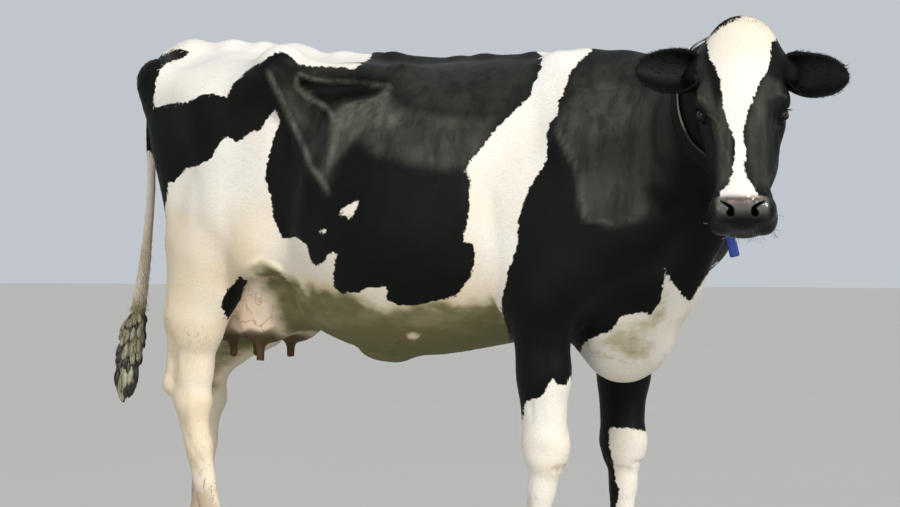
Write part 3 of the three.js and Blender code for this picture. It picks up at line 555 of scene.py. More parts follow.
TEATS = [[334, 74, 626], [334, -74, 611], [232, 56, 632], [232, -56, 632]]
UDDER = [
    mass([300, 0, 880], [205, 120, 110], 60),
    *both(lambda s: mass([352, s * 68, 790], [112, 78, 118], 30)),
    *both(lambda s: mass([205, s * 60, 800], [104, 72, 122], 40)),
    rod([190, 0, 800], [370, 0, 790], 96, 90, 1, 40),
    rod([380, 0, 820], [500, 0, 780], 90, 60, 1.5, 60),
    *[rod([x, y, z + 12], [x, y, z + 100], 12.0, 15.0, 1, 22) for x, y, z in TEATS],
]
UDDER_RELIEF = [
    ridge([[280, 0, 690], [280, 0, 640], [290, 0, 700]], 14, -8),
    *each_side(lambda s: [
        ridge([[300, s * 150, 800], [330, s * 148, 760], [400, s * 140, 742], [440, s * 120, 700]], 4.5, 3.4),
        ridge([[330, s * 148, 760], [322, s * 142, 720], [352, s * 130, 690]], 4, 3),
        ridge([[400, s * 140, 742], [382, s * 138, 700], [392, s * 120, 668]], 3.6, 2.6),
        ridge([[270, s * 140, 840], [262, s * 138, 780], [280, s * 134, 720]], 4, 2.6),
        ridge([[276, s * 120, 900], [278, s * 140, 800], [282, s * 100, 690]], 16, -6),
    ]),
]

TAIL = [
    [30, 0, 1466], [-44, 0, 1452], [-81, -2, 1390], [-90, -6, 1250], [-85, -10, 1100], [-93, -28, 900],
    [-107, -42, 764],
]
TAIL_SIZES = [[0, 34], [0.12, 31], [0.3, 18.5], [0.5, 14], [0.667, 13], [0.833, 15.5], [1, 19]]
# The middle of the fixed solid that the tail's skin is made from
SOLID_TAIL = [
    [30, 0, 1466], [-44, 0, 1452], [-82, -2, 1390], [-92, -6, 1250], [-90, -10, 1100], [-98, -28, 900],
    [-108, -42, 760],
]


def at_share(line, share):
    """Places on a line, at shares of its count of points."""
    at = np.clip(share, 0, 1) * (len(line) - 1)
    i = np.minimum(at.astype(int), len(line) - 2)
    t = (at - i)[:, None]
    return line[i] * (1 - t) + line[i + 1] * t


def hanging(p):
    return (p[:, 0] < -40) & (p[:, 2] < 1380) & (np.abs(p[:, 1]) < 110)


def round_tail(p, start, old_line, level):
    """The points p, with those that start has round the hanging tail's old line put on its round."""
    here = np.flatnonzero(hanging(start))
    old, new = smooth_line(old_line, 3), smooth_line(TAIL, 3)
    _, share = along_line(start[here], old)
    out = unit(start[here] - at_share(old, share))
    p = p.copy()
    p[here] = at_share(new, share) + out * (between(TAIL_SIZES, share)[:, 1:] + level)
    return p


# ---- Head, in its own frame

EYE_RADIUS = 21.0


def eye_at(s):
    return [233, s * 91, -62]


def ear_root(s):
    return [112, s * 112, -94]


HEAD = [
    mass([96, 0, -74], [108, 86, 76], 50),
    mass([34, 0, -50], [58, 70, 50], 40),
    mass([156, 0, -42], [150, 98, 42], 50),
    *both(lambda s: mass([204, s * 84, -46], [42, 38, 28], 30)),  # brow
    *both(lambda s: rod([250, s * 72, -90], [356, s * 52, -100], 22, 20, 1, 44)),  # cheek bone
    rod([200, 0, -56], [476, 0, -44], 56, 40, 1.06, 50),  # bridge of the nose
    rod([250, 0, -106], [450, 0, -82], 84, 62, 0.98, 60),  # upper jaw
    *both(lambda s: mass([182, s * 66, -136], [90, 36, 84], 50, 12)),  # chewing muscle
    *both(lambda s: rod([146, s * 60, -186], [330, s * 40, -164], 38, 34, 1, 50)),
    *both(lambda s: rod([330, s * 40, -164], [492, s * 20, -120], 34, 26, 1, 50)),  # lower jaw
    mass([498, 0, -119], [42, 76, 31], 16),  # chin and lower lip
    mass([480, 0, -66], [60, 78, 50], 36),
    *both(lambda s: mass([496, s * 50, -50], [32, 32, 36], 24)),  # wing of the nostril
    *both(lambda s: mass([493, s * 49, -88], [45, 36, 33], 18)),
    *both(lambda s: mass([500, s * 58, -104], [34, 25, 26], 20)),  # upper lip
    *both(lambda s: rod([92, s * 56, -90], ear_root(s), 58, 36, 1, 44)),  # root of the ear
]


def face_relief(s):
    return [
        swell([240, s * 108, -62], [32, 34, 26], -11),  # eye socket
        swell([300, s * 92, -66], [56, 34, 26], -8),
        swell([150, s * 98, -84], [36, 26, 34], -8),
        swell([420, s * 78, -96], [46, 30, 34], -6),
        ridge([[258, s * 78, -34], [320, s * 62, -30], [400, s * 50, -26], [450, s * 46, -24]], 9, 4, 0.35),
        ridge([[262, s * 98, -98], [310, s * 90, -106], [370, s * 76, -112], [420, s * 68, -112]], 10, 4,
              0.3),
        ridge([[190, s * 100, -60], [214, s * 116, -52], [246, s * 112, -36]], 8, 3.5, 0.2),
        ridge([[270, s * 100, -84], [300, s * 96, -112], [320, s * 88, -150]], 10, -4),
        # wing of the nostril and the crease behind it
        ridge([[464, s * 60, -18], [484, s * 66, -18], [506, s * 58, -19], [522, s * 42, -27]], 6.5, 5),
        ridge([[476, s * 42, -6], [494, s * 32, -5], [508, s * 16, -9], [524, s * 12, -22]], 7, 3),
        ridge([[446, s * 56, -18], [458, s * 76, -40], [470, s * 80, -76]], 8, -3.6),
        ridge([[532, s * 20, -44], [530, s * 22, -66], [526, s * 24, -84]], 9, 2.4, 0.3),
        ridge([[440, s * 80, -96], [462, s * 82, -110], [476, s * 72, -124]], 5, 2.4),
        # vein down the cheek
        ridge([[280, s * 92, -90], [330, s * 84, -86], [380, s * 72, -92], [400, s * 70, -120]], 3.4, 1.8),
    ]


def wrinkles(s):
    """Fine folds over the brow and at the cheek."""
    folds = []
    for k in range(4):
        folds.append(ridge([[196 - 11 * k, s * 66, -22], [190 - 11 * k, s * 88, -26],
                            [196 - 10 * k, s * 106, -44]], 3.2, 1.5))
    for k in range(4):
        folds.append(ridge([[420 - 16 * k, s * 72, -60], [424 - 16 * k, s * 78, -80],
                            [420 - 17 * k, s * 78, -104]], 4, 1.5))
    return folds


HEAD_RELIEF = [
    swell([300, 0, 6], [80, 40, 30], -4),
    swell([70, 0, 4], [60, 34, 30], 4),
    *each_side(face_relief), *each_side(wrinkles),
]
# Line of the mouth, corner to corner round the front of the muzzle
MOUTH = [
    [430, -78, -112], [462, -74, -108], [496, -62, -103], [522, -36, -100], [532, 0, -99],
    [522, 36, -100], [496, 62, -103], [462, 74, -108], [430, 78, -112],
]
# Opening of a nostril, seen along its passage: [out from the middle, down over the pad], and its half width.
# A slit comes in from the side and down into a round hole.
NOSTRIL = [(54, 427), (42, 433), (30, 440), (28, 447), (30, 455)]
NOSTRIL_SIZES = [[0, 1.8], [0.25, 3.8], [0.5, 5.4], [0.75, 8.0], [1, 10.0]]
INTO_NOSTRIL = np.array([-0.5, 0.0, -0.866])
OVER_PAD = np.array([0.866, 0.0, -0.5])
NOSTRIL_DEPTH = 26.0


def nostril_edge(q):
    """How far each point of the head is from the edge of a nostril, negative over its opening."""
    away, share = along_line(np.stack([np.abs(q[:, 1]), q @ OVER_PAD], 1), smooth_line(NOSTRIL, 4))
    d = away - between(NOSTRIL_SIZES, share)[:, 1]
    return np.where((q[:, 0] > 440) & (q[:, 2] > -80), d, 99)


def sunk(p):
    """Points of the head that lie over a nostril pushed in, and its rim raised a little."""
    q = to_head(p)
    d = nostril_edge(q)
    outer = smoothstep(446, 458, q @ OVER_PAD)
    push = NOSTRIL_DEPTH * smoothstep(0.5, -5.0, d) - (0.8 + 1.4 * outer) * np.exp(-((d - 3) / 2.6) ** 2)
    return from_head(q + INTO_NOSTRIL * push[:, None])


def plain_head(p):
    return distance(p, HEAD, HEAD_RELIEF)


def head_distance(p):
    """Distance to the head's skin, with the sockets and the line of the mouth cut into it."""
    d = distance(p, HEAD, HEAD_RELIEF)
    for s in (LEFT, RIGHT):
        socket = 23.3 - np.linalg.norm(p - np.array(eye_at(s)), axis=1)
        d = -blend(-d, -socket, 5.0)
    front = np.flatnonzero(p[:, 0] > 380)
    if len(front):
        away, _ = along_line(p[front], smooth_line(MOUTH, 4))
        d[front] += 6.0 * np.exp(-(away / 3.4) ** 2)
    return d


LIMBS = [
    (fore_leg(LEFT), fore_relief(LEFT), 40), (fore_leg(RIGHT), fore_relief(RIGHT), 40),
    (hind_leg(LEFT), hind_relief(LEFT), 40), (hind_leg(RIGHT), hind_relief(RIGHT), 40),
    (UDDER, UDDER_RELIEF, 22), ([tube(TAIL, TAIL_SIZES)], [], 20),
]


def near_group(p, forms):
    low = np.min([f.centre - f.reach for f in forms], axis=0) - NEAR
    high = np.max([f.centre + f.reach for f in forms], axis=0) + NEAR
    return np.flatnonzero(((p > low) & (p < high)).all(1))


def cow_distance(p):
    """Distance to the whole animal's skin, in the body frame."""
    d = distance(p, TRUNK, TRUNK_RELIEF)
    for forms, relief, fillet in LIMBS:
        near = near_group(p, forms)
        if len(near):
            d[near] = blend(d[near], distance(p[near], forms, relief), fillet)
    q = to_head(p)
    near = near_group(q, HEAD)
    d[near] = blend(d[near], head_distance(q[near]), 34)
    return d


def gradient(field, p, d, step=0.7):
    g = np.empty_like(p)
    for axis in range(3):
        q = p.copy()
        q[:, axis] += step
        g[:, axis] = (field(q) - d) / step
    return g


def onto(field, p, level=0.0, steps=3, farthest=14.0):
    """Points moved along the steepest way until they lie on the surface, or level outside it."""
    p = p.copy()
    for _ in range(steps):
        d = field(p) - level
        g = gradient(field, p, d + level)
        move = -(d / np.maximum((g * g).sum(1), 0.25))[:, None] * g
        size = np.linalg.norm(move, axis=1, keepdims=True)
        p += move * np.minimum(1, farthest / np.maximum(size, 1e-9))
    return p


def normals_of(field, p):
    return unit(gradient(field, p, field(p)))


# ---- Markings

TOWARDS_VIEW, VIEW_RIGHT = np.array([0.530, -0.848, 0.0]), np.array([0.848, 0.530, 0.0])
VIEW_AWAY, VIEW_ACROSS, VIEW_HEIGHT = 11.3, 0.7666, 0.93  # where its eye is from the body's origin, in metres
VIEW_UNITS, VIEW_MIDDLE = 4012, (450, 250)  # its units to a metre that is a metre away, and its middle


def three_quarter(p):
    """Where body points lie in the three-quarter side view, and how many of its units make a metre there."""
    x, y, z = p.T * MM
    scale = VIEW_UNITS / (VIEW_AWAY - (TOWARDS_VIEW[0] * x + TOWARDS_VIEW[1] * y))
    right = VIEW_MIDDLE[0] + scale * (VIEW_RIGHT[0] * x + VIEW_RIGHT[1] * y - VIEW_ACROSS)
    return np.stack([right, VIEW_MIDDLE[1] - scale * (z - VIEW_HEIGHT)], 1), scale


# Edges of the black areas in the three-quarter side view
RUMP_EDGE = [
    (130, 104), (153, 108), (161, 106), (174, 103), (188, 102), (202, 95), (212, 93), (226, 99), (231, 87),
    (241, 77), (251, 67), (263, 61), (274, 54), (282, 52), (290, 55), (297, 63), (306, 66), (337, 67),
    (351, 69), (363, 64), (371, 57), (378, 40),
]
FLANK_EDGE = [
    (541, 30), (536, 52), (543, 56), (541, 69), (533, 85), (531, 95), (513, 112), (500, 124), (488, 140),
    (478, 152), (466, 167), (470, 181), (469, 203), (467, 224), (462, 240), (474, 244), (475, 261),
    (470, 279), (455, 297), (418, 305), (400, 305), (388, 300), (386, 286), (363, 289), (357, 293),
    (341, 293), (334, 285), (334, 267), (337, 251), (328, 254), (324, 261), (317, 266), (310, 259),
    (307, 245), (296, 237), (282, 239), (279, 232), (274, 220), (271, 202), (266, 179), (266, 165),
    (272, 146), (276, 130), (280, 120), (275, 110), (267, 120), (260, 131), (251, 131), (243, 137),
    (237, 143), (226, 135), (218, 146), (210, 159), (198, 166), (185, 169), (174, 182), (168, 181),
    (167, 193), (162, 228), (130, 232),
]
FORE_EDGE = [
    (596, 0), (593, 49), (580, 61), (570, 72), (567, 85), (558, 103), (559, 113), (549, 124), (547, 136),
    (547, 160), (537, 175), (527, 193), (521, 212), (518, 220), (518, 236), (515, 252), (508, 271),
    (503, 294), (501, 302), (503, 314), (507, 328), (510, 342), (512, 380), (513, 424), (520, 424),
    (523, 418), (525, 402), (531, 400), (537, 399), (544, 393), (552, 379), (558, 385), (567, 385),
    (571, 375), (578, 356), (585, 342), (595, 336), (610, 332), (616, 324), (622, 316), (633, 313),
    (642, 312), (652, 315), (661, 300), (663, 282), (666, 269), (672, 282), (681, 292), (683, 299),
    (693, 300), (694, 293), (699, 287), (716, 262), (820, 262), (900, 200), (900, 0),
]
FLANK_SPOTS = [
    [(337, 215), (343, 208), (353, 202), (359, 201), (356, 210), (351, 222), (348, 216)],
    [(318, 233), (322, 228), (326, 229), (323, 236)],
]
UDDER_SIDE_PATCH = [(240, 276), (227, 289), (221, 305), (227, 319), (236, 314), (241, 298), (247, 281)]
TAIL_HEAD_PATCH = [
    (120, 60), (143, 66), (150, 59), (167, 53), (176, 48), (191, 52), (184, 57), (167, 63), (161, 69),
    (157, 80), (155, 89), (153, 102), (156, 112), (120, 116),
]
FAR_FORELEG = [
    (580, 330), (660, 330), (652, 428), (644, 431), (625, 427), (609, 429), (609, 445), (612, 456),
    (615, 473), (619, 491), (610, 540), (580, 540),
]
POLL_STRIP = [(698, 43), (709, 38), (719, 30), (729, 23), (741, 18), (742, 6), (690, 6)]
# Where the black coat gets painted sheen, in the same view
SHOULDER_SHINE = [
    (554, 122), (563, 143), (576, 168), (582, 216), (594, 221), (615, 227), (646, 221), (653, 204),
    (656, 160), (657, 112), (642, 84), (604, 76), (576, 84), (562, 104),
]
TOP_OF_SHOULDER = [
    (566, 92), (580, 66), (600, 56), (640, 58), (672, 80), (672, 150), (656, 215), (640, 120), (600, 92),
]
FLANK_SHINE = [
    (331, 122), (335, 108), (350, 103), (378, 98), (394, 104), (412, 110), (440, 116), (478, 118),
    (496, 116), (488, 140), (476, 154), (464, 166), (440, 168), (410, 162), (388, 156), (372, 152),
    (362, 138), (350, 140), (338, 158), (328, 180), (320, 176), (329, 150),
]
BACK_SHINE = [
    (300, 66), (350, 74), (392, 84), (420, 108), (500, 118), (528, 92), (534, 60), (440, 58), (372, 66),
]
FLANK_GLOW = [
    (331, 120), (345, 103), (357, 103), (389, 97), (384, 112), (400, 116), (404, 126), (384, 128),
    (360, 132), (346, 144), (334, 164), (322, 178), (328, 145),
]
THIGH_GLOW = [
    (272, 66), (296, 72), (297, 88), (311, 99), (330, 118), (331, 145), (322, 176), (304, 146), (284, 104),
]
# Painted sheen on the planes of the face, on either side of the blaze, and painted highlights along its bones
FACE_PLANES = [
    [(694, 62), (702, 56), (708, 74), (712, 92), (718, 112), (722, 128), (716, 120), (706, 110),
     (696, 100), (690, 84)],
    [(766, 74), (780, 82), (783, 92), (774, 99), (760, 104), (757, 130), (758, 160), (764, 184),
     (753, 178), (748, 150), (748, 124), (756, 98)],
]
FACE_LINES = [
    ([(704, 111), (717, 122), (722, 143), (728, 155), (730, 171)], 1.1, 0.6),
    ([(690, 100), (696, 96), (703, 99), (708, 106)], 1.6, 0.5),
    ([(776, 92), (783, 95), (789, 98)], 1.6, 0.4),
]
# Lines of painted sheen along ridges and at the edge of the shoulder: [line, half width in the view's units,
# strength]
SHINY_LINES = [
    ([(266, 66), (275, 87), (286, 110), (297, 132), (304, 148), (311, 166), (322, 181), (331, 198)], 2.7,
     1.25),
    ([(296, 72), (297, 86), (303, 93), (311, 99), (325, 107), (333, 118), (334, 130), (331, 148),
      (324, 178)], 2.6, 1.1),
    ([(296, 72), (310, 78), (332, 81), (362, 82), (382, 85), (392, 84)], 2.0, 1.25),
    ([(392, 84), (385, 93), (377, 100), (360, 103), (345, 108)], 3.6, 1.1),
    ([(554, 124), (564, 144), (577, 169), (584, 213), (594, 218), (615, 223), (646, 217)], 3.2, 0.6),
    ([(334, 132), (340, 116), (352, 109), (368, 107)], 6.0, 0.5),
]
BLAZE = [
    (701, 4), (706, 39), (708, 46), (710, 59), (717, 70), (721, 86), (723, 99), (723, 110), (731, 131),
    (735, 140), (734, 159), (732, 175), (728, 186), (720, 191), (720, 204), (740, 209), (762, 204),
    (760, 197), (755, 190), (747, 179), (744, 166), (746, 153), (744, 142), (744, 128), (747, 115),
    (752, 102), (756, 89), (761, 80), (768, 70), (771, 54), (771, 42), (777, 39), (784, 10),
]
# Edges of the black areas of the left side, seen from the left: (x, z)
LEFT_FLANK = [
    (640, 1600), (600, 1400), (520, 1330), (470, 1230), (500, 1120), (580, 1040), (600, 930), (700, 860),
    (800, 900), (900, 820), (1010, 800), (1080, 900), (1060, 1010), (1110, 1100), (1130, 1200),
    (1190, 1300), (1183, 1600),
]
LEFT_RUMP = [
    (-200, 1470), (90, 1440), (150, 1330), (120, 1200), (180, 1100), (160, 960), (60, 900), (-200, 950),
]
LEFT_FORE = [
    (1345, 1600), (1290, 1380), (1230, 1290), (1250, 1150), (1180, 1040), (1120, 900), (1150, 800),
    (1210, 720), (1250, 600), (1240, 458), (1450, 450), (1500, 640), (1560, 720), (1640, 800), (1700, 930),
    (2500, 930), (2500, 1900), (1345, 1900),
]


def outline_distance(points, outline):
    """Signed distance of flat points to a closed outline, negative inside it."""
    ring = np.array(outline, float)
    best = np.full(len(points), 1e12)
    inside = np.zeros(len(points), bool)
    for a, b in zip(ring, np.roll(ring, -1, axis=0)):
        d = b - a
        t = np.clip((points - a) @ d / max(d @ d, 1e-9), 0, 1)
        best = np.minimum(best, ((points - a - t[:, None] * d) ** 2).sum(1))
        crosses = (a[1] > points[:, 1]) != (b[1] > points[:, 1])
        where = a[0] + (points[:, 1] - a[1]) / (d[1] if d[1] else 1e-9) * d[0]
        inside ^= crosses & (points[:, 0] < where)
    return np.where(inside, -1, 1) * np.sqrt(best)


def smoothstep(low, high, value):
    t = np.clip((value - low) / (high - low), 0, 1)
    return t * t * (3 - 2 * t)


MARK_BLUR = 40.0  # millimetres of distance that the mark attribute spans
LEG_TOP = 620.0  # below this height a foreleg's markings run round it


def nearest_outline(points, *outlines):
    return np.min([outline_distance(points, outline) for outline in outlines], axis=0)


def near_head(p, q, top=-1e9):
    """Points of the head, which q gives in its own frame, from top down the face."""
    return (p[:, 0] > 1840) & (q[:, 2] > -260) & (q[:, 0] > top)


def mirrored_view(p):
    """The three-quarter view, with the left side seen as the right."""
    return three_quarter(np.stack([p[:, 0], -np.abs(p[:, 1]), p[:, 2]], 1))[0]


def blackness(p, n):
    """Half a unit and more where the coat is black, falling evenly across the edges of the markings."""
    x, y, z = p.T
    seen, scale = three_quarter(p)
    mm = 1000 / scale
    patch = nearest_outline(seen, RUMP_EDGE + FLANK_EDGE, FORE_EDGE)
    for spot in FLANK_SPOTS:
        patch = np.maximum(patch, -outline_distance(seen, spot))
    patch = np.minimum(patch, outline_distance(seen, UDDER_SIDE_PATCH)) * mm
    far = nearest_outline(p[:, [0, 2]], LEFT_FLANK, LEFT_FORE, LEFT_RUMP)
    towards = n @ TOWARDS_VIEW
    share = smoothstep(-0.10, 0.18, towards)
    share[(y > 55) & (z < 680) & (x < 1600)] = 0
    share[(y < 55) & (z < 690) & (x < 1420)] = 1
    d = share * patch + (1 - share) * far
    # right foreleg below the black, and both sides of it
    facing = smoothstep(-0.2, 0.1, towards)
    low_leg = (x > 1180) & (x < 1420) & (y < -60) & (z < LEG_TOP)
    round_leg = 530 - z + 26 * np.sin(x / 16) + 14 * np.sin(y / 9)
    d = np.where(low_leg, facing * d + (1 - facing) * round_leg, d)
    far_leg = (x > 1180) & (x < 1480) & (y > 60) & (z < LEG_TOP)
    d = np.where(far_leg, facing * outline_distance(seen, FAR_FORELEG) * mm + (1 - facing) * (456 - z), d)
    tail_d, along = along_line(p, smooth_line(TAIL, 3))
    on_tail = (tail_d < 34) & (x < 24) & (along > 0.06) & (z < 1490)
    base = np.where((towards > -0.3) | (tail_d < 60), outline_distance(seen, TAIL_HEAD_PATCH) * mm, 50)
    d = np.where(on_tail, 1206 - z + 8 * np.sin(y / 5), np.minimum(d, base))
    # head: black with a white blaze and poll
    q = to_head(p)
    head = near_head(p, q, -80) & (np.abs(q[:, 1]) < 320)
    behind = np.linalg.norm(q - np.array([4, 6, -40]), axis=1) - 62
    blaze = np.minimum(outline_distance(seen, BLAZE) * mm, behind)
    white = np.where((n @ HEAD_AXES[:, 2] > -0.2) & (q[:, 2] > -78), blaze, behind)
    d = np.where(head, np.minimum(-white, outline_distance(seen, POLL_STRIP) * mm), d)
    return np.clip(0.5 - d / MARK_BLUR, 0, 1)


# Areas of painted sheen on the body: [outline, outer and inner edge of its blur in the view's units,
# strength]
SHINY_AREAS = [
    (SHOULDER_SHINE, 3, -9, 0.44), (TOP_OF_SHOULDER, 16, -14, 0.24), (FLANK_SHINE, 9, -8, 0.5),
    (BACK_SHINE, 16, -12, 0.22), (FLANK_GLOW, 7, -5, 0.95), (THIGH_GLOW, 5, -7, 0.26),
]
NOSE_CREST = [[226, 66, -20], [262, 66, -26], [330, 58, -30], [400, 48, -26]]


def with_lines(value, seen, lines, fade_in, fade_out, where=1):
    """Adds soft lines of light: [line, half width, strength], fading out at their ends."""
    for line, width, strength in lines:
        away, share = along_line(seen, smooth_line(line, 4))
        ends = smoothstep(0, fade_in, share) * smoothstep(1, fade_out, share)
        value = np.maximum(value, value * 0.6 + strength * np.exp(-(away / width) ** 2) * ends * where)
    return value


def painted_sheen(p):
    """How much painted sheen lightens the black hair, from 0 to 1, the same on both sides of the body;
    painted sheen on the face and the muzzle pad too.
    """
    x, _, z = p.T
    seen = mirrored_view(p)
    value = np.zeros(len(p))
    for outline, outer, inner, strength in SHINY_AREAS:
        value = np.maximum(value, strength * smoothstep(outer, inner, outline_distance(seen, outline)))
    value = with_lines(value, seen, SHINY_LINES, 0.08, 0.88)
    value = np.minimum(value, 1) * (x < 1740) * (z > 900)
    q = to_head(p)
    down, side, out = q[:, 0], np.abs(q[:, 1]), q[:, 2]
    nose = smoothstep(20, 34, side) * smoothstep(70, 52, side) * smoothstep(190, 250, down)
    nose = nose * smoothstep(470, 420, down)
    crest, _ = along_line(np.stack([down, side, out], 1), smooth_line(NOSE_CREST, 3))
    bones = np.maximum(0.45 * nose, 0.4 * np.exp(-(crest / 8) ** 2))
    value = np.maximum(value, np.where((x > 1840) & (out > -60), bones, 0))
    front, _ = three_quarter(p)
    face = (x > 1840) * smoothstep(-120, -90, out) * (side < 112)
    for outline in FACE_PLANES:
        value = np.maximum(value, 0.34 * smoothstep(3, -4, outline_distance(front, outline)) * face)
    value = with_lines(value, front, FACE_LINES, 0.15, 0.8, face)
    # painted sheen over the top of the muzzle pad
    pad = smoothstep(530, 500, down) * smoothstep(470, 480, down) * smoothstep(72, 56, side) * (out > -60)
    return np.maximum(value, 0.9 * pad * (x > 1840))


# Height where the belly's underside and its painted shade begin, along the body
UNDERSIDE = [
    [380, 862], [437, 872], [481, 884], [520, 868], [560, 842], [630, 838], [721, 830], [764, 826],
    [853, 796], [953, 796], [1045, 796], [1164, 812], [1229, 808], [1320, 800],
]
# Lit side of the udder, in the three-quarter side view; the rest of the udder gets painted shade
UDDER_LIT = [
    (236, 314), (239, 300), (245, 288), (252, 281), (262, 286), (269, 296), (274, 310), (278, 323),
    (262, 330), (250, 327), (240, 331), (233, 326),
]
NAVEL = (413, 336)
# Painted shade low on the left of the brisket, in the same view
BRISKET_SHADE = [
    (576, 346), (592, 334), (610, 324), (648, 318), (662, 288), (672, 292), (668, 320), (657, 348),
    (645, 362), (628, 368), (606, 362), (588, 354),
]


def bare_skin(p, q):
    """The slate pad of the muzzle with its lips, and the rims of the lids."""
    down, side, out = q[:, 0], np.abs(q[:, 1]), q[:, 2]
    on_head = near_head(p, q)
    pad_edge = 478 - 0.10 * side + 0.10 * np.minimum(out + 20, 0)
    bare = smoothstep(-8, 8, down - pad_edge) * smoothstep(-122, -108, out) * on_head
    bare = np.maximum(bare, 0.8 * smoothstep(500, 512, down) * on_head)
    for s in (LEFT, RIGHT):
        away = np.linalg.norm((q - np.array(eye_at(s))) * [0.8, 1, 1], axis=1)
        bare = np.maximum(bare, (1 - smoothstep(27, 33, away)) * on_head)
    return bare


def soiled_and_shaded(p, leg, tail, tail_share):
    """Dirt on the legs, thicker towards the feet, and round the tail, with painted shade below the near knee.
    """
    x, _, z = p.T
    soil_and_shade = leg * (0.15 + 0.7 * (1 - smoothstep(120, 620, z))) * np.where(x > 900, 0.6, 1)
    soil_and_shade = np.where(tail & (x < 0), 0.16 * tail_share ** 3, soil_and_shade)
    # painted shadow under the front of the near knee, drawn with the dirt
    shade_below_knee = np.exp(-((z - 366 + 0.25 * (x - 1320)) / 17) ** 2) * smoothstep(1310, 1350, x) * (x < 1440)
    behind = (1 - smoothstep(40, 180, x)) * (z < 1250) * (x > -30)
    return np.maximum.reduce([soil_and_shade, 0.6 * shade_below_knee, 0.2 * behind])


def underside(p, seen, udder):
    """Painted shade under the belly and brisket, inside the hind legs and over the udder's floor; under the
    belly it stands for staining too.
    """
    x, side, z = p[:, 0], np.abs(p[:, 1]), p[:, 2]
    below = between(UNDERSIDE, np.clip(x, 380, 1320))[:, 1] - z + 8 * np.sin(x / 37) + 5 * np.sin(x / 11)
    belly = smoothstep(-34, 36, below) * smoothstep(366, 410, x) * smoothstep(1330, 1250, x)
    belly = belly * (0.86 + 0.14 * smoothstep(740, 690, z)) * (z > 560) * ~((x > 1180) & (side > 90))
    thigh = smoothstep(205, 235, side) * smoothstep(462, 430, x)
    brisket = (x > 1380) * (side < 150) * (z > 560)
    shadow = 0.42 * smoothstep(7, -13, outline_distance(seen, BRISKET_SHADE)) * brisket
    # painted shade inside the hind legs
    inner_leg = smoothstep(170, 130, side) * smoothstep(830, 760, z) * smoothstep(430, 560, z) * (x < 420)
    # painted shade over the udder's floor, darker lower down and outside its lit side
    floor = (0.4 + 0.6 * smoothstep(735, 690, z)) * smoothstep(-1, 4, outline_distance(seen, UDDER_LIT))
    return np.maximum.reduce([belly * (1 - udder) * (1 - thigh), shadow, 0.7 * inner_leg * (1 - udder),
                              udder * floor])


def zones(p):
    """What each point of the skin is like, from 0 to 1: see the names of the values that come back."""
    x, y, z = p.T
    q = to_head(p)
    side = np.abs(y)
    on_head = near_head(p, q)
    under = (x > 90) & (x < 520) & (side < 170)
    udder = under * (1 - smoothstep(2, 16, distance(p, UDDER))) * (1 - smoothstep(780, 850, z))
    udder = udder * (1 - smoothstep(390, 450, x))
    leg = (1 - smoothstep(640, 800, z)) * (side > 60) * (1 - udder)
    leg = np.where(under & (z > 600) & (side < 120), 0, leg)
    tail_d, tail_share = along_line(p, smooth_line(TAIL, 3))
    tail = tail_d < 36
    upright = np.maximum.reduce([leg, on_head * 1.0, tail * (x < 20) * 1.0, 1 - smoothstep(60, 200, x),
                                 smoothstep(1500, 1640, x)])
    warm = (1 - smoothstep(760, 1260, z)) * (1 - 0.75 * smoothstep(1080, 1260, x))
    warm = np.clip(warm + 0.25 * smoothstep(500, 100, x) * (z < 1300), 0, 1)
    seen = mirrored_view(p)
    navel = smoothstep(6, 2, np.linalg.norm((seen - NAVEL) * [0.7, 1.3], axis=1)) * (z < 760)
    # painted shade under the body; under the belly it stands for staining too
    painted_shade = underside(p, seen, udder) * (1 - 0.9 * navel)
    down, out = q[:, 0], q[:, 2]
    blush = smoothstep(470, 478, down) * smoothstep(504, 484, down) * (np.abs(q[:, 1]) < 60) * on_head
    blush = blush * (out > -70)
    # The under value carries painted shade, with staining under the belly; the sheen value carries painted
    # sheen; the deep value carries painted shade inside the nostrils; the soil value also carries painted
    # shade below the near knee.
    return {"bare": bare_skin(p, q), "udder": np.maximum.reduce([udder, 0.75 * navel, 0.7 * blush]),
            "soil_and_shade": soiled_and_shaded(p, leg, tail, tail_share) * (1 - painted_shade), "upright": upright,
            "warm": np.where(on_head, 0.35 * smoothstep(150, 50, down), warm), "painted_sheen": painted_sheen(p),
            "under": painted_shade, "deep": smoothstep(1.0, -2.5, nostril_edge(q)) * on_head}


# ---- Mesh helpers

def deselect():
    for obj in bpy.context.selected_objects:
        obj.select_set(False)


def only(obj):
    deselect()
    bpy.context.view_layer.objects.active = obj
    obj.select_set(True)


@contextmanager
def editing(obj, faces=None):
    """Edit mode with the whole mesh selected, or the faces that the mask gives."""
    only(obj)
    bpy.ops.object.mode_set(mode="EDIT")
    bpy.ops.mesh.select_mode(type="FACE")
    bpy.ops.mesh.select_all(action="SELECT" if faces is None else "DESELECT")
    if faces is not None:
        bpy.ops.object.mode_set(mode="OBJECT")
        obj.data.polygons.foreach_set("select", faces)
        bpy.ops.object.mode_set(mode="EDIT")
    yield
    bpy.ops.object.mode_set(mode="OBJECT")


def read(items, key, width=1, kind=float):
    """One property of many items: a row for each item where it has a width."""
    flat = np.empty(len(items) * width, kind)
    items.foreach_get(key, flat)
    return flat if width == 1 else flat.reshape(-1, width)


def shade_smooth(obj):
    obj.data.polygons.foreach_set("use_smooth", np.ones(len(obj.data.polygons), bool))


def mesh_piece(name, points_mm, faces):
    """A smooth mesh from body-frame points in millimetres."""
    mesh = bpy.data.meshes.new(name)
    mesh.from_pydata(to_row(points_mm).tolist(), [], faces)
    mesh.update()
    obj = bpy.data.objects.new(name, mesh)
    bpy.context.scene.collection.objects.link(obj)
    shade_smooth(obj)
    return obj


def points_of(obj):
    return to_body(read(obj.data.vertices, "co", 3))


def put_points(obj, points_mm):
    obj.data.vertices.foreach_set("co", to_row(points_mm).ravel())
    obj.data.update()


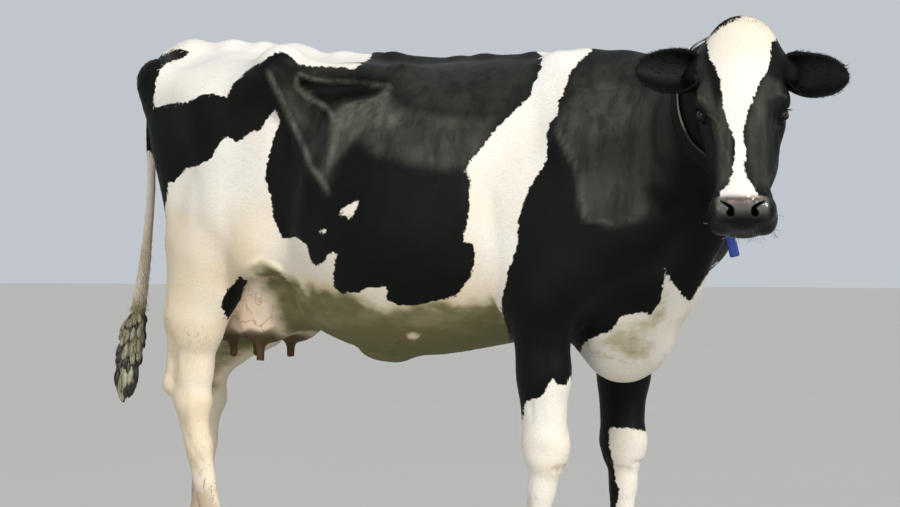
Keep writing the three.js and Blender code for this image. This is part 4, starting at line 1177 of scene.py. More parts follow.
def put_values(obj, values):
    for name, value in values.items():
        layer = obj.data.attributes.get(name) or obj.data.attributes.new(name, "FLOAT", "POINT")
        layer.data.foreach_set("value", np.asarray(value, np.float32))


def unit_sphere(name, segments, rings):
    """A new sphere and its points, a unit from its middle."""
    deselect()
    bpy.ops.mesh.primitive_uv_sphere_add(segments=segments, ring_count=rings, radius=1)
    ball = bpy.context.active_object
    ball.name = name
    shade_smooth(ball)
    return ball, read(ball.data.vertices, "co", 3)


def apply(obj, kind, **settings):
    only(obj)
    modifier = obj.modifiers.new(kind.title(), kind)
    for key, value in settings.items():
        setattr(modifier, key, value)
    bpy.ops.object.modifier_apply(modifier=modifier.name)


def join(objects, name):
    deselect()
    for obj in objects:
        obj.select_set(True)
    bpy.context.view_layer.objects.active = objects[0]
    bpy.ops.object.join()
    objects[0].name = name
    return objects[0]


def copy_of_nodes(name, nodes):
    """One mesh of copies of CAD nodes, their loose triangles merged."""
    copies = []
    for node_name in nodes:
        copy = bpy.data.objects.new(f"{name}_{node_name}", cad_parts[node_name].data.copy())
        bpy.context.scene.collection.objects.link(copy)
        copies.append(copy)
    whole = join(copies, name)
    whole.data.materials.clear()
    with editing(whole):
        bpy.ops.mesh.remove_doubles(threshold=1e-5)
    return whole


def outward(obj):
    """Faces turned outwards after the doubles are merged."""
    with editing(obj):
        bpy.ops.mesh.remove_doubles(threshold=1e-6)
        bpy.ops.mesh.normals_make_consistent(inside=False)


def loft_faces(rings, count, ends=True):
    """Quads between closed rings of equally many points, and a face at each end."""
    i, k = np.meshgrid(np.arange(count), np.arange(rings - 1))
    low, high = k * count, (k + 1) * count
    j = (i + 1) % count
    faces = np.stack([low + i, low + j, high + j, high + i], 2).reshape(-1, 4).tolist()
    if ends:
        faces += [list(range(count))[::-1], list(range((rings - 1) * count, rings * count))]
    return faces


def relax(p, edges, amount, held):
    """Each point drawn towards the middle of its neighbours, less where it is held."""
    a, b = edges.T
    count = np.bincount(a, minlength=len(p)) + np.bincount(b, minlength=len(p))
    total = np.stack([np.bincount(a, p[b, axis], len(p)) + np.bincount(b, p[a, axis], len(p))
                      for axis in range(3)], 1)
    middle = total / np.maximum(count, 1)[:, None]
    return p + (amount * (1 - held))[:, None] * (middle - p)


def finished(obj, made, replaces=()):
    obj.data.materials.clear()
    obj.data.materials.append(made)
    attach(obj, "root")
    if replaces:
        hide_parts(*replaces)


# ---- Materials

FLOAT, VECTOR = "NodeSocketFloat", "NodeSocketVector"


class Flow:
    """An output in a shader's node tree. Sums with it become Math nodes."""

    def __init__(self, tree, socket):
        self.tree, self.socket = tree, socket

    def __add__(self, other):
        return calculated("ADD", self, other)

    def __sub__(self, other):
        return calculated("SUBTRACT", self, other)

    def __rsub__(self, other):
        return calculated("SUBTRACT", other, self)

    def __mul__(self, other):
        return calculated("MULTIPLY", self, other)

    def __truediv__(self, other):
        return calculated("DIVIDE", self, other)

    def __pow__(self, other):
        return calculated("POWER", self, other)


def put(socket, value):
    if isinstance(value, Flow):
        value.tree.links.new(value.socket, socket)
    else:
        socket.default_value = value


def node(tree, kind, inputs=None, output=0, **settings):
    """A shader node with the given settings and inputs; gives back one of its outputs."""
    made = tree.nodes.new(kind)
    for key, value in settings.items():
        setattr(made, key, value)
    for key, value in (inputs or {}).items():
        put(made.inputs[key], value)
    return Flow(tree, made.outputs[output])


def calculated(operation, a, b=0.0):
    tree = (a if isinstance(a, Flow) else b).tree
    return node(tree, "ShaderNodeMath", {0: a, 1: b}, operation=operation)


def clamped(flow):
    flow.socket.node.use_clamp = True
    return flow


def mix_colour(share, a, b):
    return node(share.tree, "ShaderNodeMix", {0: share, 6: a, 7: b}, 2, data_type="RGBA")


def mix_value(share, a, b):
    return node(share.tree, "ShaderNodeMix", {0: share, 2: a, 3: b}, data_type="FLOAT")


def remap(value, low, high, to_low=0.0, to_high=1.0):
    return node(value.tree, "ShaderNodeMapRange", {0: value, 1: low, 2: high, 3: to_low, 4: to_high},
                interpolation_type="SMOOTHSTEP")


def attribute(tree, name):
    return node(tree, "ShaderNodeAttribute", {}, 2, attribute_name=name)


def noise(place, scale, detail=3.0, rough=0.5, output=0):
    """Cloudy noise. A scale of three numbers stretches it along the axes."""
    if isinstance(scale, tuple):
        place, scale = node(place.tree, "ShaderNodeMapping", {"Vector": place, "Scale": scale}), 1.0
    return node(place.tree, "ShaderNodeTexNoise",
                {"Vector": place, "Scale": scale, "Detail": detail, "Roughness": rough}, output)


def cracks(place, scale):
    """Distance to the edges of a net of cells."""
    return node(place.tree, "ShaderNodeTexVoronoi", {"Vector": place, "Scale": scale},
                feature="DISTANCE_TO_EDGE")


def pushed(place, push):
    return node(place.tree, "ShaderNodeVectorMath", {0: place, 1: push}, operation="ADD")


def bump(height, strength, distance):
    return node(height.tree, "ShaderNodeBump", {"Strength": strength, "Distance": distance, "Height": height})


def group(name, inputs, outputs, build):
    """A shader node group, built once. Its first input is the place, and the others are numbers."""
    if name in bpy.data.node_groups:
        return bpy.data.node_groups[name]
    tree = bpy.data.node_groups.new(name, "ShaderNodeTree")
    tree.interface.new_socket("Vector", in_out="INPUT", socket_type=VECTOR)
    for title, default in inputs.items():
        tree.interface.new_socket(title, in_out="INPUT", socket_type=FLOAT).default_value = default
    for title in outputs:
        tree.interface.new_socket(title, in_out="OUTPUT", socket_type=FLOAT)
    start, end = tree.nodes.new("NodeGroupInput"), tree.nodes.new("NodeGroupOutput")
    given = [Flow(tree, start.outputs[title]) for title in ("Vector", *inputs)]
    for title, flow in zip(outputs, build(*given)):
        put(end.inputs[title], flow)
    return tree


def use(made, here, **inputs):
    """A group placed in the tree of here, and its outputs in order."""
    placed = here.tree.nodes.new("ShaderNodeGroup")
    placed.node_tree = made
    for key, value in {"Vector": here, **inputs}.items():
        put(placed.inputs[key], value)
    return [Flow(here.tree, socket) for socket in placed.outputs]


def fur_relief():
    """Short combed hair: fine streaks along the lie of the coat, over soft clumps."""
    def build(here, upright):
        swirl = noise(here, 9.0, 1.0, output=1)
        push = node(here.tree, "ShaderNodeVectorMath", {0: swirl, 1: (0.05,) * 3, 2: (-0.025,) * 3},
                    operation="MULTIPLY_ADD")
        bent = pushed(here, push)
        fine = mix_value(upright, noise(bent, (70, 520, 520), 2.0, 0.6),
                         noise(bent, (520, 520, 70), 2.0, 0.6))
        wide = mix_value(upright, noise(bent, (22, 130, 130), 2.0), noise(bent, (130, 130, 22), 2.0))
        return fine * 0.55 + wide * 0.6, fine
    return group("Fur relief", {"Upright": 0.0}, ["Height", "Streak"], build)


def marking():
    """Turns the even mark attribute into black areas with hairy edges."""
    def build(here, mark, raggedness):
        ragged, broad = noise(here, (40, 130, 70), 3.0, 0.65), noise(here, 16.0, 1.0)
        shift = (ragged - 0.5) * raggedness + (broad - 0.5) * 0.12
        return [remap(mark + shift, 0.455, 0.545)]
    return group("Marking", {"Mark": 0.0, "Raggedness": 0.5}, ["Black"], build)


def soiling_and_shade():
    """Dried mud and yellow staining where the coat is dirty, and the painted shade below the near knee."""
    def build(here, amount):
        blotch, fleck = noise(here, 14.0, 4.0, 0.6), noise(here, (90, 90, 34), 3.0, 0.7)
        low = 1.0 - amount * 0.62
        crumbs = remap(fleck, 0.58, 0.70) * remap(amount, 0.15, 0.9)
        return [clamped(remap(blotch, low - 0.22, low) * amount), crumbs]
    return group("Soiling and shade", {"Amount": 0.0}, ["Stain", "Crumbs"], build)


def pores():
    """Fine cells of bare skin, as on a wet muzzle."""
    def build(here, scale):
        raised = remap(cracks(here, scale), 0.0, 0.16)
        return raised, 1.0 - raised
    return group("Pores", {"Scale": 260.0}, ["Height", "Crease"], build)


def material(name, paint):
    """A new material. Paint gives the shader's inputs from the tree, a place on the piece and the colours."""
    made = bpy.data.materials.new(name)
    made.use_nodes = True
    tree = made.node_tree
    tree.nodes.clear()
    shader, out = (tree.nodes.new(kind) for kind in ("ShaderNodeBsdfPrincipled", "ShaderNodeOutputMaterial"))
    here = node(tree, "ShaderNodeTexCoord", {}, "Object")
    for key, value in paint(tree, here, bpy.context.scene.cow_colours).items():
        put(shader.inputs[key], value)
    tree.links.new(shader.outputs[0], out.inputs[0])
    return made


def coat_colour(t, here, c):
    """Coat with staining, painted sheen on the black and painted shade underneath, shared by the skin and its
    tufts; its black areas; the height of the fur.
    """
    height, streak = use(fur_relief(), here, Upright=attribute(t, "upright"))
    [black] = use(marking(), here, Mark=attribute(t, "mark"))
    stain_and_shade, crumbs = use(soiling_and_shade(), here, Amount=attribute(t, "soil_and_shade"))
    tone, under = noise(here, 5.0, 2.0), attribute(t, "under")
    warmth = remap(tone, 0.35, 0.7, 0.0, 0.25) + attribute(t, "warm") * remap(tone, 0.25, 0.75, 0.6, 1.1)
    white = mix_colour(clamped(warmth), c.white, c.cream)
    white = mix_colour(remap(streak, 0.62, 0.30, 0.0, 0.35), white, (0.50, 0.44, 0.36, 1))
    patchy = noise(here, (8, 8, 16), 4.0, 0.6)
    uneven = remap(patchy, 0.3, 0.7, -0.28, 0.28) * remap(under, 0.0, 0.3) * remap(under, 0.9, 0.6, 0.3, 1.0)
    edge = under + uneven
    # painted shade under the body: tan at its edge, then the underside colour where it is deepest
    white = mix_colour(remap(edge, 0.1, 0.5, 0.0, 0.7), white, (0.46, 0.40, 0.23, 1))
    white = mix_colour(remap(edge, 0.4, 0.95, 0.0, 0.96), white, c.shaded)
    dark = mix_colour(remap(tone, 0.45, 0.75, 0.0, 0.65), c.black, c.rust)
    dark = mix_colour(remap(streak, 0.5, 0.75, 0.0, 0.3), dark, (0.012, 0.0115, 0.012, 1))
    folds, cloud = noise(here, (24, 24, 4), 3.0, 0.65), noise(here, 11.0, 4.0, 0.6)
    # painted sheen on the black hair, broken into upright streaks
    wear_and_sheen = attribute(t, "painted_sheen") * remap(folds, 0.32, 0.62, 0.45, 1.0) * remap(cloud, 0.3, 0.6, 0.6, 1.0)
    base = mix_colour(black, white, mix_colour(wear_and_sheen, dark, c.painted_sheen))
    base = mix_colour(stain_and_shade * 0.8, base, c.stain_and_shade)
    return mix_colour(crumbs * 0.75, base, c.mud), black, height


def hide_paint(t, here, c):
    base, black, fur = coat_colour(t, here, c)
    pore, crease = use(pores(), here, Scale=420.0)
    bare, udder, painted_sheen, deep = (attribute(t, name) for name in ("bare", "udder", "painted_sheen", "deep"))
    mottle, blotch = noise(here, 26.0, 5.0, 0.6), noise(here, 60.0, 3.0, 0.6)
    veins = remap(cracks(pushed(here, mottle * 0.07), 13.0), 0.045, 0.0)
    shown = remap(noise(here, 9.0, 2.0), 0.44, 0.62) * 0.7
    pink = mix_colour(veins * shown, c.udder, c.vein)
    pink = mix_colour(remap(mottle, 0.5, 0.8, 0.0, 0.3), pink, c.vein)
    # painted shade over the udder's floor
    pink = mix_colour(attribute(t, "under"), pink, (0.090, 0.060, 0.026, 1))
    # painted sheen over the top of the muzzle pad
    slate = mix_colour(painted_sheen, c.pad, c.painted_pad_sheen)
    # painted shade in the creases between the pores
    slate = mix_colour(crease * 0.3, slate, (0.010, 0.009, 0.010, 1))
    base = mix_colour(bare, base, slate)
    spotted = udder * (1.0 - bare * remap(blotch, 0.62, 0.50))
    base = mix_colour(spotted, base, mix_colour(bare, pink, c.pad_spot))
    # painted shade inside the nostrils, where their reflection is turned off too
    base = mix_colour(deep, base, (0.006, 0.003, 0.003, 1))
    rough = mix_value(udder, mix_value(black, 0.72, 0.5), 0.5)
    rough = mix_value(bare, rough, mix_value(remap(blotch, 0.3, 0.6), 0.22, 0.42))
    haired = clamped(1.0 - calculated("MAXIMUM", bare, udder))
    height = fur * haired + pore * (bare * 0.35) + mottle * (udder * 0.6)
    open_skin = 1.0 - deep
    return {"Base Color": base, "Roughness": rough, "Normal": bump(height, 0.45, 0.0018),
            "Coat Weight": bare * remap(painted_sheen, 0.0, 0.9, 0.05, 0.6) * open_skin, "Coat Roughness": 0.14,
            "Specular IOR Level": open_skin * 0.10}


def coat_paint(t, here, c):
    base, black, _ = coat_colour(t, here, c)
    return {"Base Color": base, "Roughness": mix_value(black, 0.68, 0.5), "Specular IOR Level": 0.09}


def coat_material():
    return bpy.data.materials.get("Coat") or material("Coat", coat_paint)


def floor_paint(t, here, c):
    darker = (*(part * 0.96 for part in c.floor[:3]), 1)
    return {"Base Color": mix_colour(noise(here, 0.8, 2.0), c.floor, darker), "Roughness": 0.85,
            "Specular IOR Level": 0.2}


def eye_paint(t, here, c):
    along, across, front = (attribute(t, name) for name in ("along_slit", "across_slit", "front"))

    def oval(wide, tall):
        return (along / wide) ** 2.0 + (across / tall) ** 2.0

    iris = mix_colour(noise(here, 420.0, 3.0, 0.7), (0.020, 0.0085, 0.004, 1), c.iris)
    base = mix_colour(remap(oval(15.5, 15.0), 0.92, 1.12), iris, (0.018, 0.011, 0.008, 1))
    base = mix_colour(remap(oval(9.5, 5.2), 1.25, 0.8), base, (0.004, 0.005, 0.009, 1))
    return {"Base Color": mix_colour(front, (0.020, 0.012, 0.010, 1), base), "Roughness": 0.08,
            "Specular IOR Level": 0.4, "Coat Weight": 0.4, "Coat Roughness": 0.02}


def horn_paint(t, here, c):
    bands = node(t, "ShaderNodeTexWave", {"Vector": here, "Scale": 70.0, "Distortion": 3.0, "Detail": 2.0},
                 1, bands_direction="Z")
    chips = noise(here, (60, 60, 160), 4.0, 0.65)
    base = mix_colour(chips, (0.030, 0.024, 0.020, 1), c.horn)
    base = mix_colour(bands * 0.35, base, (0.16, 0.13, 0.095, 1))
    low = remap(node(t, "ShaderNodeSeparateXYZ", {"Vector": here}, 2), 0.05, 0.0)
    base = mix_colour(low * remap(noise(here, 30.0, 4.0), 0.35, 0.6), base, c.mud)
    return {"Base Color": base, "Roughness": remap(chips, 0.3, 0.7, 0.36, 0.62),
            "Normal": bump(bands * 0.6 + chips, 0.5, 0.0012), "Specular IOR Level": 0.45}


def strap_paint(t, here, c):
    around, across = attribute(t, "round_strap"), attribute(t, "across_strap")
    weave = calculated("SINE", across * 44.0) * calculated("SINE", around * 1500.0)
    wear_and_sheen = noise(here, 30.0, 4.0, 0.6)
    base = mix_colour(remap(weave, -1.0, 1.0), (0.004, 0.004, 0.004, 1), c.strap)
    binding = remap(calculated("ABSOLUTE", across), 0.80, 0.86) * remap(across, -0.2, 0.2)
    binding_bright = remap(around, 0.24, 0.30, 1.0, 0.15)  # the binding is darker under the neck
    base = mix_colour(binding * binding_bright, base, c.binding)
    base = mix_colour(remap(wear_and_sheen, 0.55, 0.8, 0.0, 0.2), base, c.mud)
    return {"Base Color": base, "Roughness": remap(wear_and_sheen, 0.3, 0.7, 0.55, 0.8),
            "Normal": bump(weave, 0.7, 0.0008), "Specular IOR Level": 0.15}


def tag_paint(t, here, c):
    scratch, dust = noise(here, (220, 220, 60), 3.0, 0.6), noise(here, 26.0, 3.0)
    return {"Base Color": mix_colour(remap(dust, 0.5, 0.75, 0.0, 0.35), c.tag, (0.06, 0.09, 0.20, 1)),
            "Roughness": remap(scratch, 0.3, 0.7, 0.28, 0.5), "Normal": bump(scratch, 0.25, 0.0004),
            "Specular IOR Level": 0.5}


def switch_paint(t, here, c):
    along, shade = attribute(t, "along"), attribute(t, "shade")
    strands = noise(here, (420, 420, 40), 3.0, 0.6)
    # painted grey sheen on the dark locks
    dark = mix_colour(remap(strands, 0.45, 0.7), c.switch_dark, (0.075, 0.070, 0.062, 1))
    pale = mix_colour(remap(shade, 0.75, 1.0), c.switch_light, c.switch_pale)
    base = mix_colour(remap(shade, 0.42, 0.58), dark, pale)
    base = mix_colour(remap(strands, 0.6, 0.35, 0.0, 0.55), base, (0.014, 0.011, 0.009, 1))
    return {"Base Color": base, "Roughness": remap(along + strands * 0.2, 0.1, 0.6, 0.65, 0.36),
            "Normal": bump(strands, 0.8, 0.0015), "Specular IOR Level": 0.5}


# ---- Settings

def length(name, description, default, **more):
    return bpy.props.FloatProperty(name=name, description=description, default=default, min=0.0,
                                   unit="LENGTH", subtype="DISTANCE", precision=4, **more)


def colour(name, description, default):
    return bpy.props.FloatVectorProperty(name=name, description=description, default=(*default, 1.0), size=4,
                                         min=0.0, max=1.0, subtype="COLOR")


class CowColours(bpy.types.PropertyGroup):
    white: colour("White coat", "Clean white hair", (0.80, 0.78, 0.74))
    cream: colour("Cream coat", "Warmer white hair", (0.74, 0.62, 0.45))
    black: colour("Black coat", "Black hair", (0.0027, 0.0036, 0.0029))
    rust: colour("Faded black", "Black hair bleached by the sun", (0.0075, 0.0060, 0.0048))
    # colour of the painted sheen on the black coat
    painted_sheen: colour("Painted sheen", "Black hair painted lighter as sheen", (0.105, 0.103, 0.084))
    # colour of the painted shade under the body, which also stands for the belly's staining
    shaded: colour("Underside", "Painted shade and staining under the belly", (0.135, 0.126, 0.050))
    # colour of the staining, also used for the painted shade below the near knee
    stain_and_shade: colour("Staining", "Yellowed, dirty hair, and painted shade below the knee", (0.34, 0.25, 0.14))
    mud: colour("Mud", "Dried mud in the hair", (0.090, 0.066, 0.042))
    udder: colour("Udder", "Pink udder skin", (1.0, 0.80, 0.62))
    vein: colour("Udder shade", "Deeper pink round the veins", (0.50, 0.26, 0.15))
    pad: colour("Muzzle pad", "Slate skin of the muzzle", (0.0032, 0.0028, 0.0034))
    # colour of the painted sheen on the top of the muzzle pad
    painted_pad_sheen: colour("Painted sheen of the pad", "Painted sheen on the skin between the nostrils", (0.115, 0.115, 0.100))
    pad_spot: colour("Muzzle spots", "Pink spots on the muzzle", (0.42, 0.25, 0.21))
    switch_light: colour("Switch, upper", "Clean hair of the switch", (0.24, 0.215, 0.125))
    switch_pale: colour("Switch, palest", "Palest strands of the switch", (0.46, 0.44, 0.32))
    switch_dark: colour("Switch, lower", "Wet and muddy hair of the switch", (0.020, 0.014, 0.009))
    iris: colour("Iris", "Lighter brown of the iris", (0.085, 0.036, 0.014))
    horn: colour("Horn", "Hooves and dew claws", (0.085, 0.066, 0.048))
    strap: colour("Strap", "Woven neck strap", (0.008, 0.008, 0.007))
    binding: colour("Strap edge", "Pale binding along the strap's front edge", (0.30, 0.28, 0.24))
    tag: colour("Tag", "Blue plastic tag", (0.004, 0.032, 0.22))
    floor: colour("Floor", "Studio floor", (0.50, 0.49, 0.47))


class CowSkin(bpy.types.PropertyGroup):
    voxel: length("Skin mesh", "Size of the skin's coarsest faces", 0.0145)
    coat_depth: length("Coat depth", "How far the skin lies inside the coat", 0.0015)
    rounds: bpy.props.IntProperty(name="Evening rounds", default=3, min=0,
                                  description="How often the skin's mesh is evened out")


class CowCoat(bpy.types.PropertyGroup):
    hair_length: length("Hair", "Length of the body's flat tufts", 0.014)
    poll_length: length("Poll hair", "Length of the hair on the poll", 0.015)
    body_density: bpy.props.FloatProperty(name="Tufts", description="Body tufts to the square centimetre",
                                          default=0.75, min=0)
    switch_locks: bpy.props.IntProperty(name="Switch locks", description="Fine locks in the tail's switch",
                                        default=820, min=0)


class CowStage(bpy.types.PropertyGroup):
    lens: length("Focal length", "Camera lens, in millimetres of a 36 mm frame", 160.48)
    key_strength: bpy.props.FloatProperty(name="Key light", description="Strength of the main light",
                                          default=2.4,
                                          min=0)


# ---- Skin

FLESH_NODES = ["torso", "neck", "head", "foreleg_left", "foreleg_right", "hindleg_left", "hindleg_right",
               "udder", "tail"]


def fine_areas(p):
    """Where the skin's faces are halved for the first time: head, legs, udder, flanks and tail."""
    x, side, z = p[:, 0], np.abs(p[:, 1]), p[:, 2]
    q = to_head(p)
    head = (q[:, 0] > 10) & (q[:, 2] > -215) & (x > 1860)
    legs = (z < 590) & (x > -80)
    udder = (side < 300) & (z < 905) & (x > 100) & (x < 580)
    flank = (x > 490) & (x < 885) & (z > 1090) & (side > 170)
    return head | legs | udder | flank | hanging(p)


def muzzle_and_eyes(p):
    q = to_head(p)
    chosen = (q[:, 0] > 424) & (p[:, 0] > 1860)
    for s in (LEFT, RIGHT):
        chosen |= np.linalg.norm(q - np.array(eye_at(s)), axis=1) < 62
    return chosen


def nose_and_mouth(p):
    q = to_head(p)
    to_mouth, _ = along_line(q, smooth_line(MOUTH, 4))
    nose = (q[:, 0] > 460) & (q[:, 2] > -60) & (np.abs(q[:, 1]) < 68)
    return (p[:, 0] > 1860) & (nose | (to_mouth < 12))


def settle(obj, level, rounds, tail_held=0.5):
    """Brings a skin's points onto the flesh, evened out along it."""
    p, edges = points_of(obj), read(obj.data.edges, "vertices", 2, np.int64)
    for _ in range(rounds):
        even = relax(p, edges, 0.55, hanging(p) * tail_held)
        p = round_tail(onto(cow_distance, even, level, 2), even, TAIL, level)
    put_points(obj, p)


class COW_OT_hide(bpy.types.Operator):
    """Makes the whole skin: one mesh over the fixed solids of flesh, brought onto the smooth body"""
    bl_idname = "cow.hide"
    bl_label = "Skin"

    def execute(self, context):
        skin = context.scene.cow_skin
        hide = copy_of_nodes("hide", FLESH_NODES)
        apply(hide, "REMESH", mode="VOXEL", voxel_size=skin.voxel)
        level = -skin.coat_depth / MM
        start = points_of(hide)
        put_points(hide, round_tail(onto(cow_distance, start, level, 4, 30), start, SOLID_TAIL, level))
        settle(hide, level, skin.rounds, 1.0)
        for chosen, rounds in ((fine_areas, 1), (muzzle_and_eyes, 1), (nose_and_mouth, 2)):
            with editing(hide, chosen(to_body(read(hide.data.polygons, "center", 3)))):
                bpy.ops.mesh.subdivide(number_cuts=1)
            settle(hide, level, rounds)
        before_nostrils = points_of(hide)
        put_points(hide, sunk(before_nostrils))
        hide = join([hide, make_ear(LEFT), make_ear(RIGHT), make_lids(LEFT), make_lids(RIGHT)], "hide")
        p = points_of(hide)
        added = np.arange(len(p)) >= len(before_nostrils)
        p[~added] = before_nostrils
        n = normals_of(cow_distance, p)
        ears = (np.abs(to_head(p)[:, 1]) > EAR_START) & added
        values = {"mark": blackness(p, n), **zones(p), "ear": ears * 1.0}
        values["mark"][ears] = 1
        for key in ("bare", "soil_and_shade", "udder", "painted_sheen", "deep"):
            values[key][ears] = 0
        put_values(hide, values)
        shade_smooth(hide)
        finished(hide, material("Hide", hide_paint), [*FLESH_NODES, "ear_left", "ear_right"])
        return {"FINISHED"}


# ---- Ears

EAR_START = 118  # how far out from the middle of the head the ears begin
# Along the ear from root to tip: [share, half width, wrap of the leaf in degrees, thickness]
EAR_LEAF = [
    [0, 33, 168, 10], [0.14, 34, 160, 9], [0.26, 47, 112, 8], [0.42, 63, 82, 7], [0.6, 64, 68, 6],
    [0.76, 55, 58, 5.5], [0.88, 41, 50, 5], [0.96, 24, 42, 4], [1, 10, 30, 3],
]


def ear_sections(s, across=17):
    """Closed sections of a cupped leaf: its back from edge to edge, then its hollow front."""
    axis = smooth_line([[96, s * 78, -92], [108, s * 112, -92], [112 + 6 * s, s * 160, -92],
                        [112 + 8 * s, s * 215, -90], [111 + 10 * s, s * 266, -86]], 10)
    sections = []
    for middle, (u, half, wrap, thick) in zip(axis, between(EAR_LEAF, np.linspace(0, 1, len(axis)))):
        wrap = math.radians(wrap)
        radius = half / math.sin(min(wrap, math.pi / 2))
        centre = middle + [0, 0, radius * (1 + math.cos(wrap)) / 2]
        angles = np.linspace(-wrap, wrap, across)
        twist = math.radians(14) * (1 - u)  # the opening looks a little downwards at the root
        ripple = 6.4 * np.sin(5 * angles) * u * (1 - u)
        front = radius - thick * (1 - 0.25 * (np.abs(angles) / wrap) ** 8) + ripple
        size = np.concatenate([np.full(across, radius), front[::-1]])
        a = np.concatenate([angles, angles[::-1]]) + twist
        sections.append(centre + np.stack([size * np.sin(a), 0 * a, -size * np.cos(a)], 1))
    return np.array(sections)


def make_ear(s):
    sections = ear_sections(s)
    rings, count = sections.shape[:2]
    ear = mesh_piece(f"ear_{SIDES[s]}_leaf", from_head(sections.reshape(-1, 3)), loft_faces(rings, count))
    outward(ear)
    return ear


# ---- Eyes

SLIT_TURN = math.radians(42)  # slit of the lids, from the line down the face towards the brow
LID_LENGTH, UPPER_LID, LOWER_LID = 18.5, 11.0, 9.5  # half the slit, and how high and low it opens
EYE_GAP = 22.4  # how far inner lids keep from the eye's middle
LID_REACH = 22.0  # how far in front of the eye's middle the almond is drawn


def eye_axes(s):
    """Where the eye looks, along the slit of its lids towards the nose, and up across it."""
    look = np.array([0.04, s * 0.872, 0.488])
    look /= np.linalg.norm(look)
    down_face = np.array([1.0, 0, 0]) - look[0] * look
    down_face /= np.linalg.norm(down_face)
    inward = np.cross(look, down_face)
    inward *= np.sign(inward[2])
    slit = math.cos(SLIT_TURN) * down_face + math.sin(SLIT_TURN) * inward
    up = np.cross(look, slit)
    return look, slit, -np.sign(up[0]) * up


def lid_outline(angles):
    """The almond between the lids, pointed at its corners: along the slit, and across it."""
    c, t = np.cos(angles), np.sin(angles)
    along = LID_LENGTH * c * (1 + 0.10 * np.abs(c) ** 6 * (c > 0))
    return along, np.where(t > 0, UPPER_LID, LOWER_LID) * t * (1 - 0.22 * c * c) + 1.2 * c * c * c


# Rings of a lid from its inner edge outwards: [scale of the outline, distance from the eye's middle, share of
# the skin in it, depth under the skin]
LID_RINGS = [
    [0.97, 20.4, 0, 0], [1.0, 21.4, 0, 0], [1.02, 22.3, 0, 0], [1.06, 23.1, 0, 0], [1.12, 23.6, 0, 0],
    [1.22, 24.0, 0, 0], [1.33, 24.4, 0, 0], [1.42, 23.7, 0, 0], [1.5, 23.5, 0, 0], [1.6, 24.6, 0, 0],
    [1.74, 25.0, 0.08, 0.4], [1.9, 24.8, 0.2, 0.4], [2.05, 25.2, 0.42, 0.4], [2.25, 25.2, 0.7, 0.4],
    [2.5, 25.2, 0.92, 0.4], [2.8, 25.2, 1, 1.6], [3.05, 25.2, 1, 3.2],
]


def make_lids(s):
    look, slit, up = eye_axes(s)
    centre = np.array(eye_at(s))
    angles = np.linspace(0, 2 * math.pi, 72, endpoint=False)
    along, across = lid_outline(angles)
    rings = []
    for i, (scale, radius, share, depth) in enumerate(LID_RINGS):
        fold = 0.35 * np.sin(angles * 9 + i * 1.3) * (1.1 < scale < 2.2)
        heavy = 0.7 * np.maximum(np.sin(angles), 0) * (1.04 < scale < 1.4)  # the upper lid is thicker
        round_up = min(1, max(0, (scale - 1.1) / 1.5))
        a = along * (scale * (1 - 0.10 * round_up))
        b = across * scale * (1 + 0.18 * round_up)
        way = unit(LID_REACH * look + a[:, None] * slit + b[:, None] * up)
        ring = centre + way * (radius + fold + heavy)[:, None]
        if share:
            skin = onto(plain_head, centre + way * 27.0, -depth, 5, 12)
            ring = ring + share * (skin - ring)
            if scale < 2.4:
                out = ring - centre
                ring = centre + out * np.maximum(1, EYE_GAP / np.linalg.norm(out, axis=1, keepdims=True))
        rings.append(ring)
    lids = mesh_piece(f"lids_{SIDES[s]}", from_head(np.concatenate(rings)),
                      loft_faces(len(rings), len(angles), ends=False))
    outward(lids)
    if (read(lids.data.polygons, "normal", 3) @ (HEAD_AXES @ look)).mean() < 0:
        lids.data.flip_normals()
    return lids


class COW_OT_eyes(bpy.types.Operator):
    """Eyeballs with a bulging cornea, a brown iris and a long level pupil"""
    bl_idname = "cow.eyes"
    bl_label = "Eyes"

    def execute(self, context):
        paint = material("Eye", eye_paint)
        for s in (LEFT, RIGHT):
            look, slit, up = eye_axes(s)
            eye, ball = unit_sphere(f"eyeball_{SIDES[s]}", 64, 48)
            cornea = 1.9 * smoothstep(38, 12, np.degrees(np.arccos(np.clip(ball[:, 2], -1, 1))))
            behind_lids = smoothstep(1.0, 1.5, np.hypot(ball[:, 0] / 0.93, ball[:, 1] / 0.60))
            behind_lids = np.where(ball[:, 2] > 0, behind_lids, 1)
            points = ball * ((EYE_RADIUS - 0.3 + cornea) * (1 - 0.2 * behind_lids))[:, None]
            put_points(eye, from_head(np.array(eye_at(s)) + points @ np.stack([slit, up, look])))
            put_values(eye, {"along_slit": points[:, 0], "across_slit": points[:, 1],
                             "front": (points[:, 2] > 0) * 1.0})
            outward(eye)
            finished(eye, paint, [f"eye_{SIDES[s]}"])
        return {"FINISHED"}


# ---- Hooves

HOOF_LENGTH, HOOF_WIDTH, TOE_HEIGHT, HEEL_HEIGHT = 128.0, 56.0, 74.0, 42.0
HOOF_LEVELS, HOOF_ROUND = 20, 36


